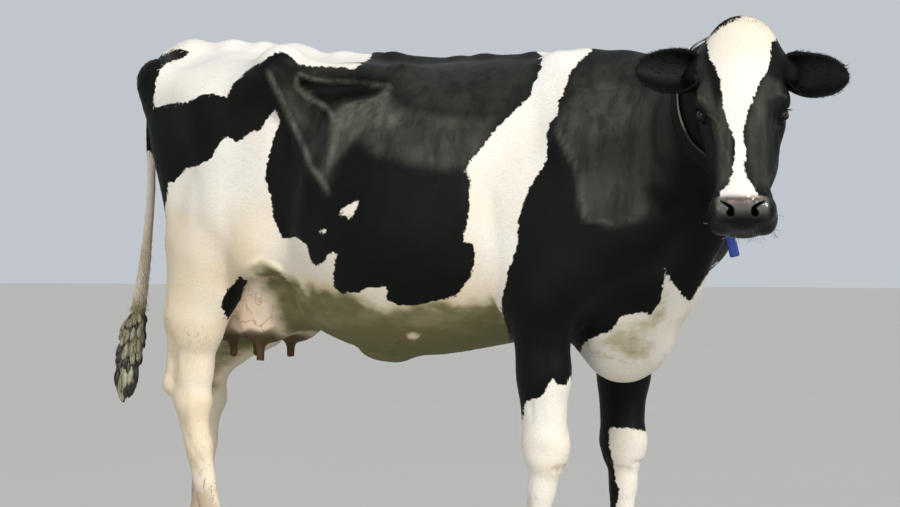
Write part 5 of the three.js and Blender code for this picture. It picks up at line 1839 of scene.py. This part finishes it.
def hoof_points(centre, side):
    """One claw: a half oval, flat towards its neighbour, its toe wall sloping back from the ground."""
    angles = np.linspace(0, 2 * math.pi, HOOF_ROUND, endpoint=False)
    forward = np.cos(angles)
    outside = np.sign(np.sin(angles)) * np.abs(np.sin(angles)) ** 0.8
    outside = outside * np.where(outside > 0, 1.06, 0.9)
    rim = HEEL_HEIGHT + (TOE_HEIGHT - HEEL_HEIGHT) * (forward + 1) / 2
    rings = []
    for height in np.arange(HOOF_LEVELS + 1) / HOOF_LEVELS:
        taper = 1 - 0.2 * height - 0.05 * (height > 0.95)
        half_width = HOOF_WIDTH / 2 * (1 - 0.34 * np.maximum(0, forward) ** 2) * taper
        groove = 0.7 * math.sin(height * 42) * (0.1 < height < 0.9) - 1.2 * (height < 0.03)
        push = 1 + groove / 60
        x = centre[0] + forward * HOOF_LENGTH / 2 * taper * push - 30 * height * height
        y = centre[1] + side * outside * half_width * push
        rings.append(np.stack([x, y, height * rim], 1))
    return np.concatenate(rings)


class COW_OT_hooves(bpy.types.Operator):
    """Eight claws with growth rings, and the dew claws behind each fetlock"""
    bl_idname = "cow.hooves"
    bl_label = "Hooves"

    def execute(self, context):
        paint = material("Horn", horn_paint)
        lean = turned(math.radians(30), "y")
        for claw, fetlock, d in ((f"{pair}_{SIDES[s]}_{SIDES[d]}", fetlocks[s], d)
                                 for pair, fetlocks in (("fore", FORE_FETLOCK), ("hind", HIND_FETLOCK))
                                 for s in (LEFT, RIGHT) for d in (LEFT, RIGHT)):
            hoof = mesh_piece(f"claw_{claw}", hoof_points(beside(fetlock, 66, d * 31, 0), d),
                              loft_faces(HOOF_LEVELS + 1, HOOF_ROUND))
            outward(hoof)
            apply(hoof, "BEVEL", width=0.0012, segments=2, limit_method="ANGLE", angle_limit=math.radians(50))
            bpy.ops.object.shade_smooth_by_angle(angle=math.radians(50))
            finished(hoof, paint, [f"hoof_{claw}"])
            dew, ball = unit_sphere(f"dew_{claw}", 20, 14)
            up = ball[:, 2:]
            blunt = ball * [14, 12, 19] * (1 - 0.18 * np.maximum(0, -up)) + 0.5 * np.sin(up * 14) * ball
            put_points(dew, blunt @ lean.T + beside(fetlock, -46, d * 24, -36))
            finished(dew, paint, [f"dewclaw_{claw}"])
        return {"FINISHED"}


# ---- Collar

STRAP_AT, STRAP_TURN = [1826, -184, 1250], math.radians(50)
STRAP_WIDTH, STRAP_THICK, STRAP_GAP, SPOKES = 32.0, 4.0, 3.4, 160
# Section of the strap: [across its width from -1 to 1, out from its inner face, whole thickness 1]
STRAP_SECTION = [
    (-0.92, 0), (-0.4, 0), (0.4, 0), (0.92, 0), (1, 0.3), (1, 0.7), (0.93, 1.12), (0.84, 1.12), (0.8, 0.95),
    (0.3, 1), (-0.3, 1), (-0.8, 0.95), (-0.84, 1.12), (-0.93, 1.12), (-1, 0.7), (-1, 0.3),
]
TAG_AT, TAG_ROLL = [1835, -147, 968], math.radians(14)
TAG_SIZE = (0.014, 0.025, 0.114)


def reach_skin(origin, ways, farthest=320.0):
    """How far each ray runs from inside the neck to its skin."""
    def depth(reach):
        return distance(origin + ways * reach[:, None], TRUNK, TRUNK_RELIEF)

    low, high, step = np.zeros(len(ways)), np.full(len(ways), farthest), np.zeros(len(ways))
    for _ in range(24):
        d = depth(step)
        inside = d < 0
        low = np.where(inside & (step > low), step, low)
        high = np.where(~inside, np.minimum(high, step), high)
        step = np.where(inside, step + np.maximum(3, -0.8 * d), step)
    for _ in range(10):
        middle = (low + high) / 2
        inside = depth(middle) < 0
        low, high = np.where(inside, middle, low), np.where(inside, high, middle)
    return (low + high) / 2


def make_strap():
    ahead = np.array([math.cos(STRAP_TURN), -math.sin(STRAP_TURN), 0])
    angles = np.linspace(0, 2 * math.pi, SPOKES, endpoint=False)
    ways = np.cos(angles)[:, None] * [0, 0, 1] + np.sin(angles)[:, None] * np.cross(ahead, [0, 0, 1])

    def origin(side):
        return STRAP_AT + ahead * side * STRAP_WIDTH / 2

    reaches = {side: reach_skin(origin(side), ways) for side in (-1, -0.5, 0, 0.5, 1)}
    reach = np.mean(list(reaches.values()), axis=0)
    for _ in range(6):
        reach = np.maximum(reach, (np.roll(reach, 1) + np.roll(reach, -1)) / 2)
    lean = (reaches[1] - reaches[-1]) / 2
    rings = np.stack([origin(side) + ways * (reach + lean * side + STRAP_GAP + out * STRAP_THICK)[:, None]
                      for side, out in STRAP_SECTION], 1)
    rings = np.concatenate([rings, rings[:1]])
    count = len(STRAP_SECTION)
    strap = mesh_piece("neck_strap", rings.reshape(-1, 3), loft_faces(SPOKES + 1, count, ends=False))
    put_values(strap, {"round_strap": np.repeat(np.arange(SPOKES + 1) / SPOKES, count),
                       "across_strap": np.tile([side for side, _ in STRAP_SECTION], SPOKES + 1)})
    outward(strap)
    return strap


def make_tag():
    """A rounded block with a raised rim and a loop round the strap."""
    deselect()
    bpy.ops.mesh.primitive_cube_add(size=1)
    tag = bpy.context.active_object
    with editing(tag):
        bpy.ops.transform.resize(value=TAG_SIZE)
        bpy.ops.mesh.bevel(offset=0.0045, segments=4, affect="EDGES")
    with editing(tag, np.abs(read(tag.data.polygons, "normal", 3)[:, 0]) > 0.99):
        bpy.ops.mesh.inset(thickness=0.003, depth=0)
        bpy.ops.mesh.inset(thickness=0.0012, depth=-0.0012)
    c, s = math.cos(TAG_ROLL), math.sin(TAG_ROLL)
    roll = np.array([[1, 0, 0], [0, c, -s], [0, s, c]])
    put_points(tag, (points_of(tag) + BODY_IN_ROW) @ roll.T @ turned(-STRAP_TURN, "z").T + TAG_AT)
    only(tag)
    bpy.ops.object.shade_smooth_by_angle(angle=math.radians(40))
    deselect()
    bpy.ops.mesh.primitive_torus_add(major_segments=40, minor_segments=12, major_radius=0.019,
                                     minor_radius=0.0034,
                                     location=tuple(to_row(beside(TAG_AT, 0, 0, 58))),
                                     rotation=(math.radians(90), 0, math.pi / 2 - STRAP_TURN))
    loop = bpy.context.active_object
    bpy.ops.object.transform_apply(location=True, rotation=True, scale=True)
    bpy.ops.object.shade_smooth()
    return join([tag, loop], "neck_tag")


class COW_OT_collar(bpy.types.Operator):
    """A woven neck strap with bound edges, and a plain blue tag hanging from it"""
    bl_idname = "cow.collar"
    bl_label = "Collar and tag"

    def execute(self, context):
        finished(make_strap(), material("Woven strap", strap_paint), ["collar_strap"])
        finished(make_tag(), material("Blue plastic", tag_paint), ["collar_tag"])
        return {"FINISHED"}


# ---- Coat

def turn_about(a, b, middle_a, middle_b):
    """Share of a full turn at which flat points lie round a middle."""
    return np.arctan2(a - middle_a, b - middle_b) / (2 * math.pi) + 0.5


def unwrap(p):
    """Each point's place on a flat unwrap of the skin: trunk, head, legs, udder and tail side by side."""
    x, y, z = p.T
    q = to_head(p)
    u = 0.02 + 0.60 * np.clip((x + 60) / 1960, 0, 1)
    v = 0.02 + 0.58 * turn_about(y, z, 0, 1080)
    leg = (z < 760) & (np.abs(y) > 50) & ((x < 480) | (x > 1180))
    for k, (joints, s) in enumerate(((KNEE, LEFT), (KNEE, RIGHT), (HOCK, LEFT), (HOCK, RIGHT))):
        here = leg & (y * s > 0) & ((x > 900) == (k < 2))
        u[here] = 0.02 + 0.155 * k + 0.135 * turn_about(y[here], x[here], joints[s][1], joints[s][0])
        v[here] = 0.64 + 0.34 * np.clip(z[here] / 760, 0, 1)
    tail = (x < -30) & (np.abs(y) < 110)
    u[tail] = 0.66 + 0.08 * turn_about(y[tail], x[tail], -20, -95)
    v[tail] = 0.64 + 0.34 * np.clip((z[tail] - 480) / 1000, 0, 1)
    head = near_head(p, q, -90)
    u[head] = 0.66 + 0.30 * np.clip((q[head, 0] + 80) / 640, 0, 1)
    v[head] = 0.02 + 0.34 * turn_about(q[head, 1], q[head, 2], 0, -90)
    ear = head & (np.abs(q[:, 1]) > EAR_START)
    u[ear] = 0.66 + 0.15 * (q[ear, 1] > 0) + 0.13 * np.clip((q[ear, 0] - 30) / 160, 0, 1)
    v[ear] = 0.40 + 0.20 * np.clip((np.abs(q[ear, 1]) - 110) / 180, 0, 1)
    return np.stack([u, v], 1)


# A tuft: three rings of three corners and a tip. Each ring is [share of the length, share of the width]
TUFT_RINGS = [(0.0, 0.75), (0.38, 1.0), (0.74, 0.72)]
TUFT_CORNERS = [(-0.5, 0.0), (0.5, 0.0), (0.0, 0.5)]  # across the lock and out of the skin
TUFT_POINTS = 10
PATCH = 0.003  # size of a tuft on the unwrap
TUFT_VALUES = ("mark", "bare", "udder", "soil_and_shade", "upright", "warm", "painted_sheen", "under")


def tuft_triangles():
    """Walls between the rings, three triangles up to the tip and one across the root."""
    corners = []
    for ring in (0, 3):
        for low, after in ((ring, ring + 1), (ring + 1, ring + 2), (ring + 2, ring)):
            corners += [(low, after, after + 3), (low, after + 3, low + 3)]
    return np.array([*corners, (6, 7, 9), (7, 8, 9), (8, 6, 9), (0, 2, 1)])


def tufts(name, roots, normals, ways, lengths, widths, lift, sway, values, depth=1.2):
    """Thin three-sided locks that leave the skin, rise a little and lie down along the coat."""
    n = len(roots)
    ways = unit(ways - (ways * normals).sum(1, keepdims=True) * normals)
    sides = np.cross(normals, ways)
    long, wide, lift, sway = (v[:, None] for v in (lengths, widths, lift, sway))

    def middle(t):
        rise = lift * long * 1.7 * (t - 0.62 * t * t)
        along = ways * long * t * (1 - 0.2 * lift)
        return roots - depth * normals + along + normals * rise + sides * (sway * long * t * t)

    corners = [middle(t) + sides * (wide * size * across) + normals * (wide * size * out)
               for t, size in TUFT_RINGS for across, out in TUFT_CORNERS]
    points = np.stack([*corners, middle(1.0)], 1).reshape(-1, 3)
    triangles = (tuft_triangles()[None] + TUFT_POINTS * np.arange(n)[:, None, None]).reshape(-1, 3)
    obj = mesh_piece(name, points, triangles.tolist())
    nothing = np.zeros(n)
    put_values(obj, {key: np.repeat(values.get(key, nothing), TUFT_POINTS) for key in TUFT_VALUES})
    place = [(across, t - 0.5) for t, _ in TUFT_RINGS for across, _ in TUFT_CORNERS] + [(0, 0.5)]
    spots = (unwrap(roots)[:, None] + PATCH * np.array(place)).reshape(-1, 2)
    layer = obj.data.uv_layers.new(name="OFBake")
    layer.data.foreach_set("uv", np.clip(spots[triangles.ravel()], 0, 1).ravel().astype(np.float32))
    finished(obj, coat_material())


class Skin:
    """The hide's triangles, to grow tufts from."""

    def __init__(self):
        mesh = bpy.data.objects["hide"].data
        mesh.calc_loop_triangles()
        self.triangles = read(mesh.loop_triangles, "vertices", 3, np.int64)
        self.points = points_of(bpy.data.objects["hide"])
        self.normals = read(mesh.vertices, "normal", 3)
        self.values = {key: read(mesh.attributes[key].data, "value") for key in (*TUFT_VALUES, "ear")}
        a, b, c = (self.points[self.triangles[:, k]] for k in range(3))
        self.areas = np.linalg.norm(np.cross(b - a, c - a), axis=1) / 2
        self.middles = (a + b + c) / 3
        self.on_ear = self.mean("ear") > 0.5

    def mean(self, key):
        return self.values[key][self.triangles].mean(1)

    def sow(self, density):
        """Random places on the skin. Density is tufts to the square centimetre for each triangle."""
        expected = self.areas / 100 * density
        count = np.floor(expected + rng.random(len(expected))).astype(int)
        chosen = np.repeat(np.arange(len(count)), count)
        share = rng.dirichlet((1, 1, 1), len(chosen))
        corners = self.triangles[chosen]

        def mixed(data):
            return (data[corners] * (share[..., None] if data.ndim > 1 else share)).sum(1)

        return mixed(self.points), unit(mixed(self.normals)), {k: mixed(v) for k, v in self.values.items()}

    def grow(self, name, density, length_of, width, lift, spread=0.25, sway=0.2):
        """A piece of coat with tufts of that density, length, width and lift, combed along the coat."""
        p, n, values = self.sow(density)
        ways = unit(combed(p, values) + rng.normal(0, spread, (len(p), 3)))
        lengths = length_of(p) * rng.uniform(0.7, 1.25, len(p))
        tufts(name, p, n, ways, lengths, width * rng.uniform(0.7, 1.3, len(p)),
              lift * rng.uniform(0.4, 1.4, len(p)), rng.normal(0, sway, len(p)), values)


def combed(p, values):
    """Which way the hair lies at each place."""
    q = to_head(p)
    x, y, z = p.T
    way = np.tile([-1.0, 0, -0.42], (len(p), 1))
    way[:, 2] -= 1.2 * smoothstep(1180, 900, z) * smoothstep(420, 200, x)
    way += np.outer(smoothstep(460, 120, x), [0.55, 0, -0.9])
    way += np.outer(smoothstep(1350, 1650, x), [0.2, 0, -0.7])
    leg = (values["upright"] * (z < 800))[:, None]
    way = way * (1 - leg) + leg * np.array([-0.12, 0, -1])
    way[(x < -20) & (np.abs(y) < 100)] = [-0.03, -0.04, -1]
    head = near_head(p, q, -90)
    down, across, out = q.T
    face = np.stack([smoothstep(60, 170, down) * 2 - 1,  # a whorl on the forehead
                     0.5 * np.sign(across) * smoothstep(260, 120, down) + across / 300,
                     -0.6 * smoothstep(-40, -110, out)], 1)
    along_ear = np.stack([0.25 * (down - 108) / 60, np.sign(across), 0 * down + 0.1], 1)
    face = np.where((head & (np.abs(across) > EAR_START))[:, None], along_ear, face)
    way[head] = face[head] @ HEAD_AXES.T
    return unit(way)


COAT_AREAS = [
    ("coat_rump", lambda p: p[:, 0] < 420),
    ("coat_barrel_left", lambda p: (p[:, 0] < 1190) & (p[:, 1] > 0)),
    ("coat_barrel_right", lambda p: p[:, 0] < 1190),
    ("coat_shoulder_left", lambda p: (p[:, 0] < 1560) & (p[:, 1] > 0)),
    ("coat_shoulder_right", lambda p: p[:, 0] < 1560),
    ("coat_neck", lambda p: p[:, 0] < 5000),
]


class COW_OT_coat(bpy.types.Operator):
    """Short coat as flat tufts over the whole skin, longer where it breaks the outline"""
    bl_idname = "cow.coat"
    bl_label = "Coat"

    def execute(self, context):
        coat = context.scene.cow_coat
        skin = Skin()
        m = skin.middles
        q = to_head(m)
        head, ear = near_head(m, q, -90), skin.on_ear
        legs = (m[:, 2] < 640) & ~head
        tail = (m[:, 0] < -20) & (np.abs(m[:, 1]) < 100)
        clear = np.clip(1 - 2 * np.maximum(skin.mean("bare"), skin.mean("udder")), 0, 1)
        left = ~(head | ear | legs | tail)
        size = coat.hair_length / MM

        def body_length(p):
            return size * (1 + 0.5 * smoothstep(800, 700, p[:, 2]) + 0.5 * smoothstep(150, 20, p[:, 0]))

        for name, inside in COAT_AREAS:
            here = left & inside(m)
            left &= ~here
            skin.grow(name, coat.body_density * here * clear, body_length, 1.5, 0.055)
        for name, here, short in (("fore", legs & (m[:, 0] > 900), 0.55),
                                  ("hind", legs & (m[:, 0] < 900), 0.6)):
            skin.grow(f"coat_legs_{name}", 1.15 * here * clear,
                      lambda p: size * (short + 0.7 * smoothstep(190, 100, p[:, 2])), 1.3, 0.09)
        skin.grow("coat_head", 3.4 * (head & ~ear) * clear * (q[:, 0] > 70), lambda p: size * 0.45, 1.1, 0.08)
        skin.grow("coat_tail", 9.0 * tail, lambda p: 10 + 30 * smoothstep(1050, 780, p[:, 2]), 2.2, 0.10,
                  0.10)
        skin.grow("coat_ears", 5.0 * ear, lambda p: 9, 1.2, 0.08, 0.15)
        return {"FINISHED"}


def head_ways(vectors):
    """Directions given in the head's frame, in the body's."""
    return unit(np.asarray(vectors) @ HEAD_AXES.T)


def ear_fringe(each=900):
    """Long hair inside the cups of the ears and round their rims."""
    rows = []
    for s in (LEFT, RIGHT):
        sections = ear_sections(s)
        rings, count = sections.shape[:2]
        half = count // 2
        for _ in range(each):
            i = rng.integers(int(rings * 0.12), int(rings * 0.93))
            rim = rng.random() < 0.55
            k = rng.choice([0, half - 1, half, count - 1]) if rim else rng.integers(half + 1, count - 1)
            place, centre, share = sections[i, k], sections[i].mean(0), i / rings
            inward = unit(centre - place)
            if rim:
                normal = 0.3 * inward + [0, 0, 1.0]
                out = [0.55 * (place[0] - centre[0]) / 50, s * (0.5 + 0.8 * share), 0.15]
            else:
                normal = inward + [0, 0, 0.8]
                out = [0.1 * rng.normal(), s * (0.6 + 0.5 * share), 0.35]
            rows.append((place, normal, out + rng.normal(0, 0.22, 3),
                         rng.uniform(3, 7) if rim else rng.uniform(10, 24)))
    places, normals, ways, lengths = (np.array(column) for column in zip(*rows))
    count = len(rows)
    black = np.ones(count)
    tufts("coat_ear_fringe", from_head(places), head_ways(normals), head_ways(ways), lengths,
          rng.uniform(0.9, 1.6, count), rng.uniform(0.05, 0.3, count), rng.normal(0, 0.25, count),
          {"mark": black, "upright": black}, 1.0)


def lashes(each=46):
    """Lashes along the upper lids."""
    rows = []
    for s in (LEFT, RIGHT):
        look, slit, up = eye_axes(s)
        for angle in np.radians(np.linspace(18, 162, each)):
            along, across = lid_outline(angle)
            root = unit(LID_REACH * look + 1.05 * along * slit + 1.05 * across * up) * 23.6
            rows.append((eye_at(s) + root, 0.7 * up + 0.5 * look,
                         look + 0.35 * up + 0.25 * slit * math.cos(angle) + rng.normal(0, 0.08, 3)))
    places, normals, ways = (np.array(column) for column in zip(*rows))
    count = len(rows)
    tufts("lashes", from_head(places), head_ways(normals), head_ways(ways), rng.uniform(11, 17, count),
          rng.uniform(0.5, 0.8, count), rng.uniform(0.15, 0.3, count), rng.normal(0, 0.15, count),
          {"mark": np.ones(count)}, 0.6)


class COW_OT_long_hair(bpy.types.Operator):
    """Curled hair of the poll, hair in and round the ears, lashes and whiskers"""
    bl_idname = "cow.long_hair"
    bl_label = "Poll, ears, lashes and whiskers"

    def execute(self, context):
        skin = Skin()
        q = to_head(skin.middles)
        near = (skin.middles[:, 0] > 1840) & ~skin.on_ear
        top = smoothstep(118, 40, q[:, 0]) * (q[:, 2] > -120) * near * (np.abs(q[:, 1]) < 92)
        p, n, values = skin.sow(13.0 * top)
        down, across, out = to_head(p).T
        comb = unit(np.stack([0 * down - 1.0, 0.3 * across / 60, 0.2 + 0.3 * (out + 40) / 60], 1)
                    + smoothstep(30, 110, down)[:, None] * [1.9, 0, 0])
        ways = unit(comb @ HEAD_AXES.T + rng.normal(0, 0.12, (len(p), 3)))
        long = context.scene.cow_coat.poll_length / MM * (0.35 + 0.65 * smoothstep(120, 20, down))
        tufts("coat_poll", p, n, ways, long * rng.uniform(0.6, 1.2, len(p)), rng.uniform(1.2, 2.2, len(p)),
              rng.uniform(0.01, 0.05, len(p)), rng.normal(0, 0.12, len(p)), values)
        ear_fringe()
        lashes()
        chin = smoothstep(470, 500, q[:, 0]) * (q[:, 2] < -88) * near
        p, n, _ = skin.sow(0.35 * chin)
        tufts("whiskers", p, n, unit(n + rng.normal(0, 0.4, (len(p), 3)) + [0, 0, -0.5]),
              rng.uniform(16, 34, len(p)), rng.uniform(0.6, 0.9, len(p)), rng.uniform(0.5, 0.9, len(p)),
              rng.normal(0, 0.2, len(p)), {"mark": (rng.random(len(p)) < 0.8) * 1.0})
        return {"FINISHED"}


# ---- Tail switch

SWITCH_CORE = [[-108, -43, 765], [-118, -50, 690], [-128, -60, 605], [-136, -70, 500]]
SWITCH_SIZE = [[0, 14], [0.12, 27], [0.3, 35], [0.6, 35], [0.82, 30], [0.93, 18], [1, 6]]
CLUMPS, GOLDEN_ANGLE = 120, 2.399963
SHARE_PALE = [[-0.1, 0.8], [0.25, 0.55], [0.5, 0.35], [0.8, 0.2]]  # of the clumps, down the switch
# Along a lock: how far out it hangs, how far its hairs part, and the thickness of a fine lock and of a clump
HANG_OUT = [[0, 0.5], [0.4, 0.8], [1, 1.02]]
PART = [[0, 0.4], [0.4, 0.9], [0.75, 1], [0.9, 0.8], [1.1, 0.4]]
FINE_SIZE = [[0, 0.6], [0.3, 1], [0.8, 0.9], [1, 0.25]]
CLUMP_SIZE = [[0, 0.3], [0.35, 0.8], [0.7, 1], [0.9, 0.72], [1, 0.25]]
LOCK_RINGS, LOCK_SIDES = 8, 6


def curve(rows, x):
    return between(rows, x)[:, 1]


def varied(index, step, count):
    """A number from 0 to 1 that changes from clump to clump."""
    return (index * step) % count / (count - 1)


class COW_OT_tail_switch(bpy.types.Operator):
    """The switch: fine locks drawn together into wet clumps that hang and overlap"""
    bl_idname = "cow.tail_switch"
    bl_label = "Tail switch"

    def execute(self, context):
        core = smooth_line(SWITCH_CORE, 10)
        points, along, shade = [], [], []
        tops = np.arange(CLUMPS) / CLUMPS * 0.80 - 0.02
        pale = rng.random(CLUMPS) < curve(SHARE_PALE, tops)
        tones = np.where(pale, rng.uniform(0.62, 1.0, CLUMPS), rng.uniform(0.0, 0.38, CLUMPS))
        for i in range(CLUMPS + context.scene.cow_coat.switch_locks):
            fine, clump = i >= CLUMPS, i % CLUMPS
            turn = clump * GOLDEN_ANGLE
            out = np.array([math.cos(turn), math.sin(turn), 0])
            across = np.array([-out[1], out[0], 0])
            top = tops[clump]
            lowest = min(1.0, top + 0.17 + 0.09 * varied(clump, 7, 5))
            radius, angle = (rng.uniform(5, 9) if fine else 0), rng.uniform(0, 2 * math.pi)
            t = np.linspace(rng.uniform(0, 0.4) if fine else 0, rng.uniform(0.7, 1.08) if fine else 1,
                            LOCK_RINGS)
            level = top + t * (lowest - top)
            deep = 0.74 + 0.26 * varied(clump, 11, 7)  # outer clumps lie over inner ones
            away = deep * curve(SWITCH_SIZE, np.clip(level, 0, 1)) * curve(HANG_OUT, t)
            parted = radius * curve(PART, t)
            wave = 2.4 * np.sin(5 * t + clump) * t
            middle = (at_share(core, np.maximum(level, 0)) + out * (away + parted * math.cos(angle))[:, None]
                      + across * (parted * math.sin(angle) + wave)[:, None])
            thick = rng.uniform(1.3, 2.4) if fine else 6.2 + 3.4 * varied(clump, 5, 8)
            size = (thick * curve(FINE_SIZE if fine else CLUMP_SIZE, np.linspace(0, 1, LOCK_RINGS)))[:, None]
            turn = rng.uniform(0, math.pi)
            wide = math.cos(turn) * across + math.sin(turn) * out
            over = (0.5 if fine else 0.85) * (math.cos(turn) * out - math.sin(turn) * across)
            points.append(np.stack([middle + size * (math.cos(a) * wide + math.sin(a) * over)
                                    for a in np.arange(LOCK_SIDES) * 2 * math.pi / LOCK_SIDES],
                                    1).reshape(-1, 3))
            along.append(np.repeat(level, LOCK_SIDES))
            shade.append(np.full(len(points[-1]), np.clip(tones[clump] + rng.normal(0, 0.05), 0, 1)))
        one = loft_faces(LOCK_RINGS, LOCK_SIDES)
        faces = [[v + i * LOCK_RINGS * LOCK_SIDES for v in face] for i in range(len(points)) for face in one]
        switch = mesh_piece("switch", np.concatenate(points), faces)
        put_values(switch, {"along": np.concatenate(along), "shade": np.concatenate(shade)})
        outward(switch)
        finished(switch, material("Switch", switch_paint), ["tail_switch"])
        return {"FINISHED"}


# ---- Stage

# Lights: [name, kind, metres right of the view's middle, towards the camera and up, size, tint].
# The key's size is the sun's angle
LIGHTS = [
    ("key", "SUN", (2.0, 4.6, 4.3), math.radians(10), (1, 0.965, 0.90)),
    ("fill_left", "AREA", (-4.0, 6.0, 2.0), 3.0, (1, 0.98, 0.93)),
    ("fill_right", "AREA", (4.8, 5.6, 1.9), 3.0, (1, 0.98, 0.94)),
]
FILL_WATTS = {"fill_left": 110.0, "fill_right": 78.0}
SKY, SKY_STRENGTH = (0.80, 0.86, 0.92, 1), 0.66
CAMERA_AT, CAMERA_SHIFT = (5.627, -9.113, 0.93), -3.5 / 900


def add_light(name, kind, place, size, power, tint):
    """A light aimed at the middle of the cow."""
    bpy.ops.object.light_add(type=kind, location=tuple(place))
    light = bpy.context.active_object
    light.name = f"light_{name}"
    light.data.energy, light.data.color = power, tint
    if kind == "SUN":
        light.data.angle = size
    else:
        light.data.shape, light.data.size = "DISK", size
    aim = np.array([0.0, 0.0, 0.9]) - place
    light.rotation_euler = (math.atan2(math.hypot(aim[0], aim[1]), -aim[2]), 0,
                            math.atan2(aim[1], aim[0]) - math.pi / 2)


class COW_OT_stage(bpy.types.Operator):
    """Sets up a pale floor, soft lights and the camera"""
    bl_idname = "cow.stage"
    bl_label = "Floor, lights and camera"

    def execute(self, context):
        stage, scene = context.scene.cow_stage, context.scene
        deselect()
        bpy.ops.mesh.primitive_plane_add(size=160, location=(0, 0, 0))
        floor = context.active_object
        floor.name = "floor"
        floor.data.materials.append(material("Floor", floor_paint))
        for name, kind, (right, near, up), size, tint in LIGHTS:
            place = right * VIEW_RIGHT + near * TOWARDS_VIEW + [0, 0, up]
            add_light(name, kind, place, size, FILL_WATTS.get(name, stage.key_strength), tint)
        world = bpy.data.worlds.new("Studio")
        world.use_nodes = True
        sky = world.node_tree.nodes["Background"].inputs
        sky[0].default_value, sky[1].default_value = SKY, SKY_STRENGTH
        scene.world = world
        bpy.ops.object.camera_add(location=CAMERA_AT, rotation=(math.radians(90), 0,
                                                                math.atan2(0.530, 0.848)))
        scene.camera = context.active_object
        lens = scene.camera.data
        lens.sensor_width, lens.lens, lens.shift_y, lens.clip_end = 36, stage.lens, CAMERA_SHIFT, 400
        scene.view_settings.view_transform = "Standard"
        return {"FINISHED"}


# ---- Panel, registration and run

class COW_PT_panel(bpy.types.Panel):
    """Lists the steps that make the cow"""
    bl_idname = "COW_PT_panel"
    bl_label = "Dairy cow"
    bl_space_type = "VIEW_3D"
    bl_region_type = "UI"
    bl_category = "Cow"

    def draw(self, context):
        for step in STEPS:
            self.layout.operator(step.bl_idname)
        for settings in (getattr(context.scene, name) for name in SETTINGS):
            box = self.layout.box()
            for key in type(settings).__annotations__:
                box.prop(settings, key)


STEPS = [COW_OT_hide, COW_OT_coat, COW_OT_long_hair, COW_OT_tail_switch, COW_OT_eyes, COW_OT_hooves,
         COW_OT_collar, COW_OT_stage]
SETTINGS = {"cow_colours": CowColours, "cow_skin": CowSkin, "cow_coat": CowCoat, "cow_stage": CowStage}


def register():
    for made in [*SETTINGS.values(), *STEPS, COW_PT_panel]:
        bpy.utils.register_class(made)
    for name, kind in SETTINGS.items():
        setattr(bpy.types.Scene, name, bpy.props.PointerProperty(type=kind))


def unregister():
    for name in SETTINGS:
        delattr(bpy.types.Scene, name)
    for made in reversed([*SETTINGS.values(), *STEPS, COW_PT_panel]):
        bpy.utils.unregister_class(made)


def main():
    register()
    for step in STEPS:
        section, name = step.bl_idname.split(".")
        getattr(getattr(bpy.ops, section), name)()


if __name__ == "__main__":
    main()
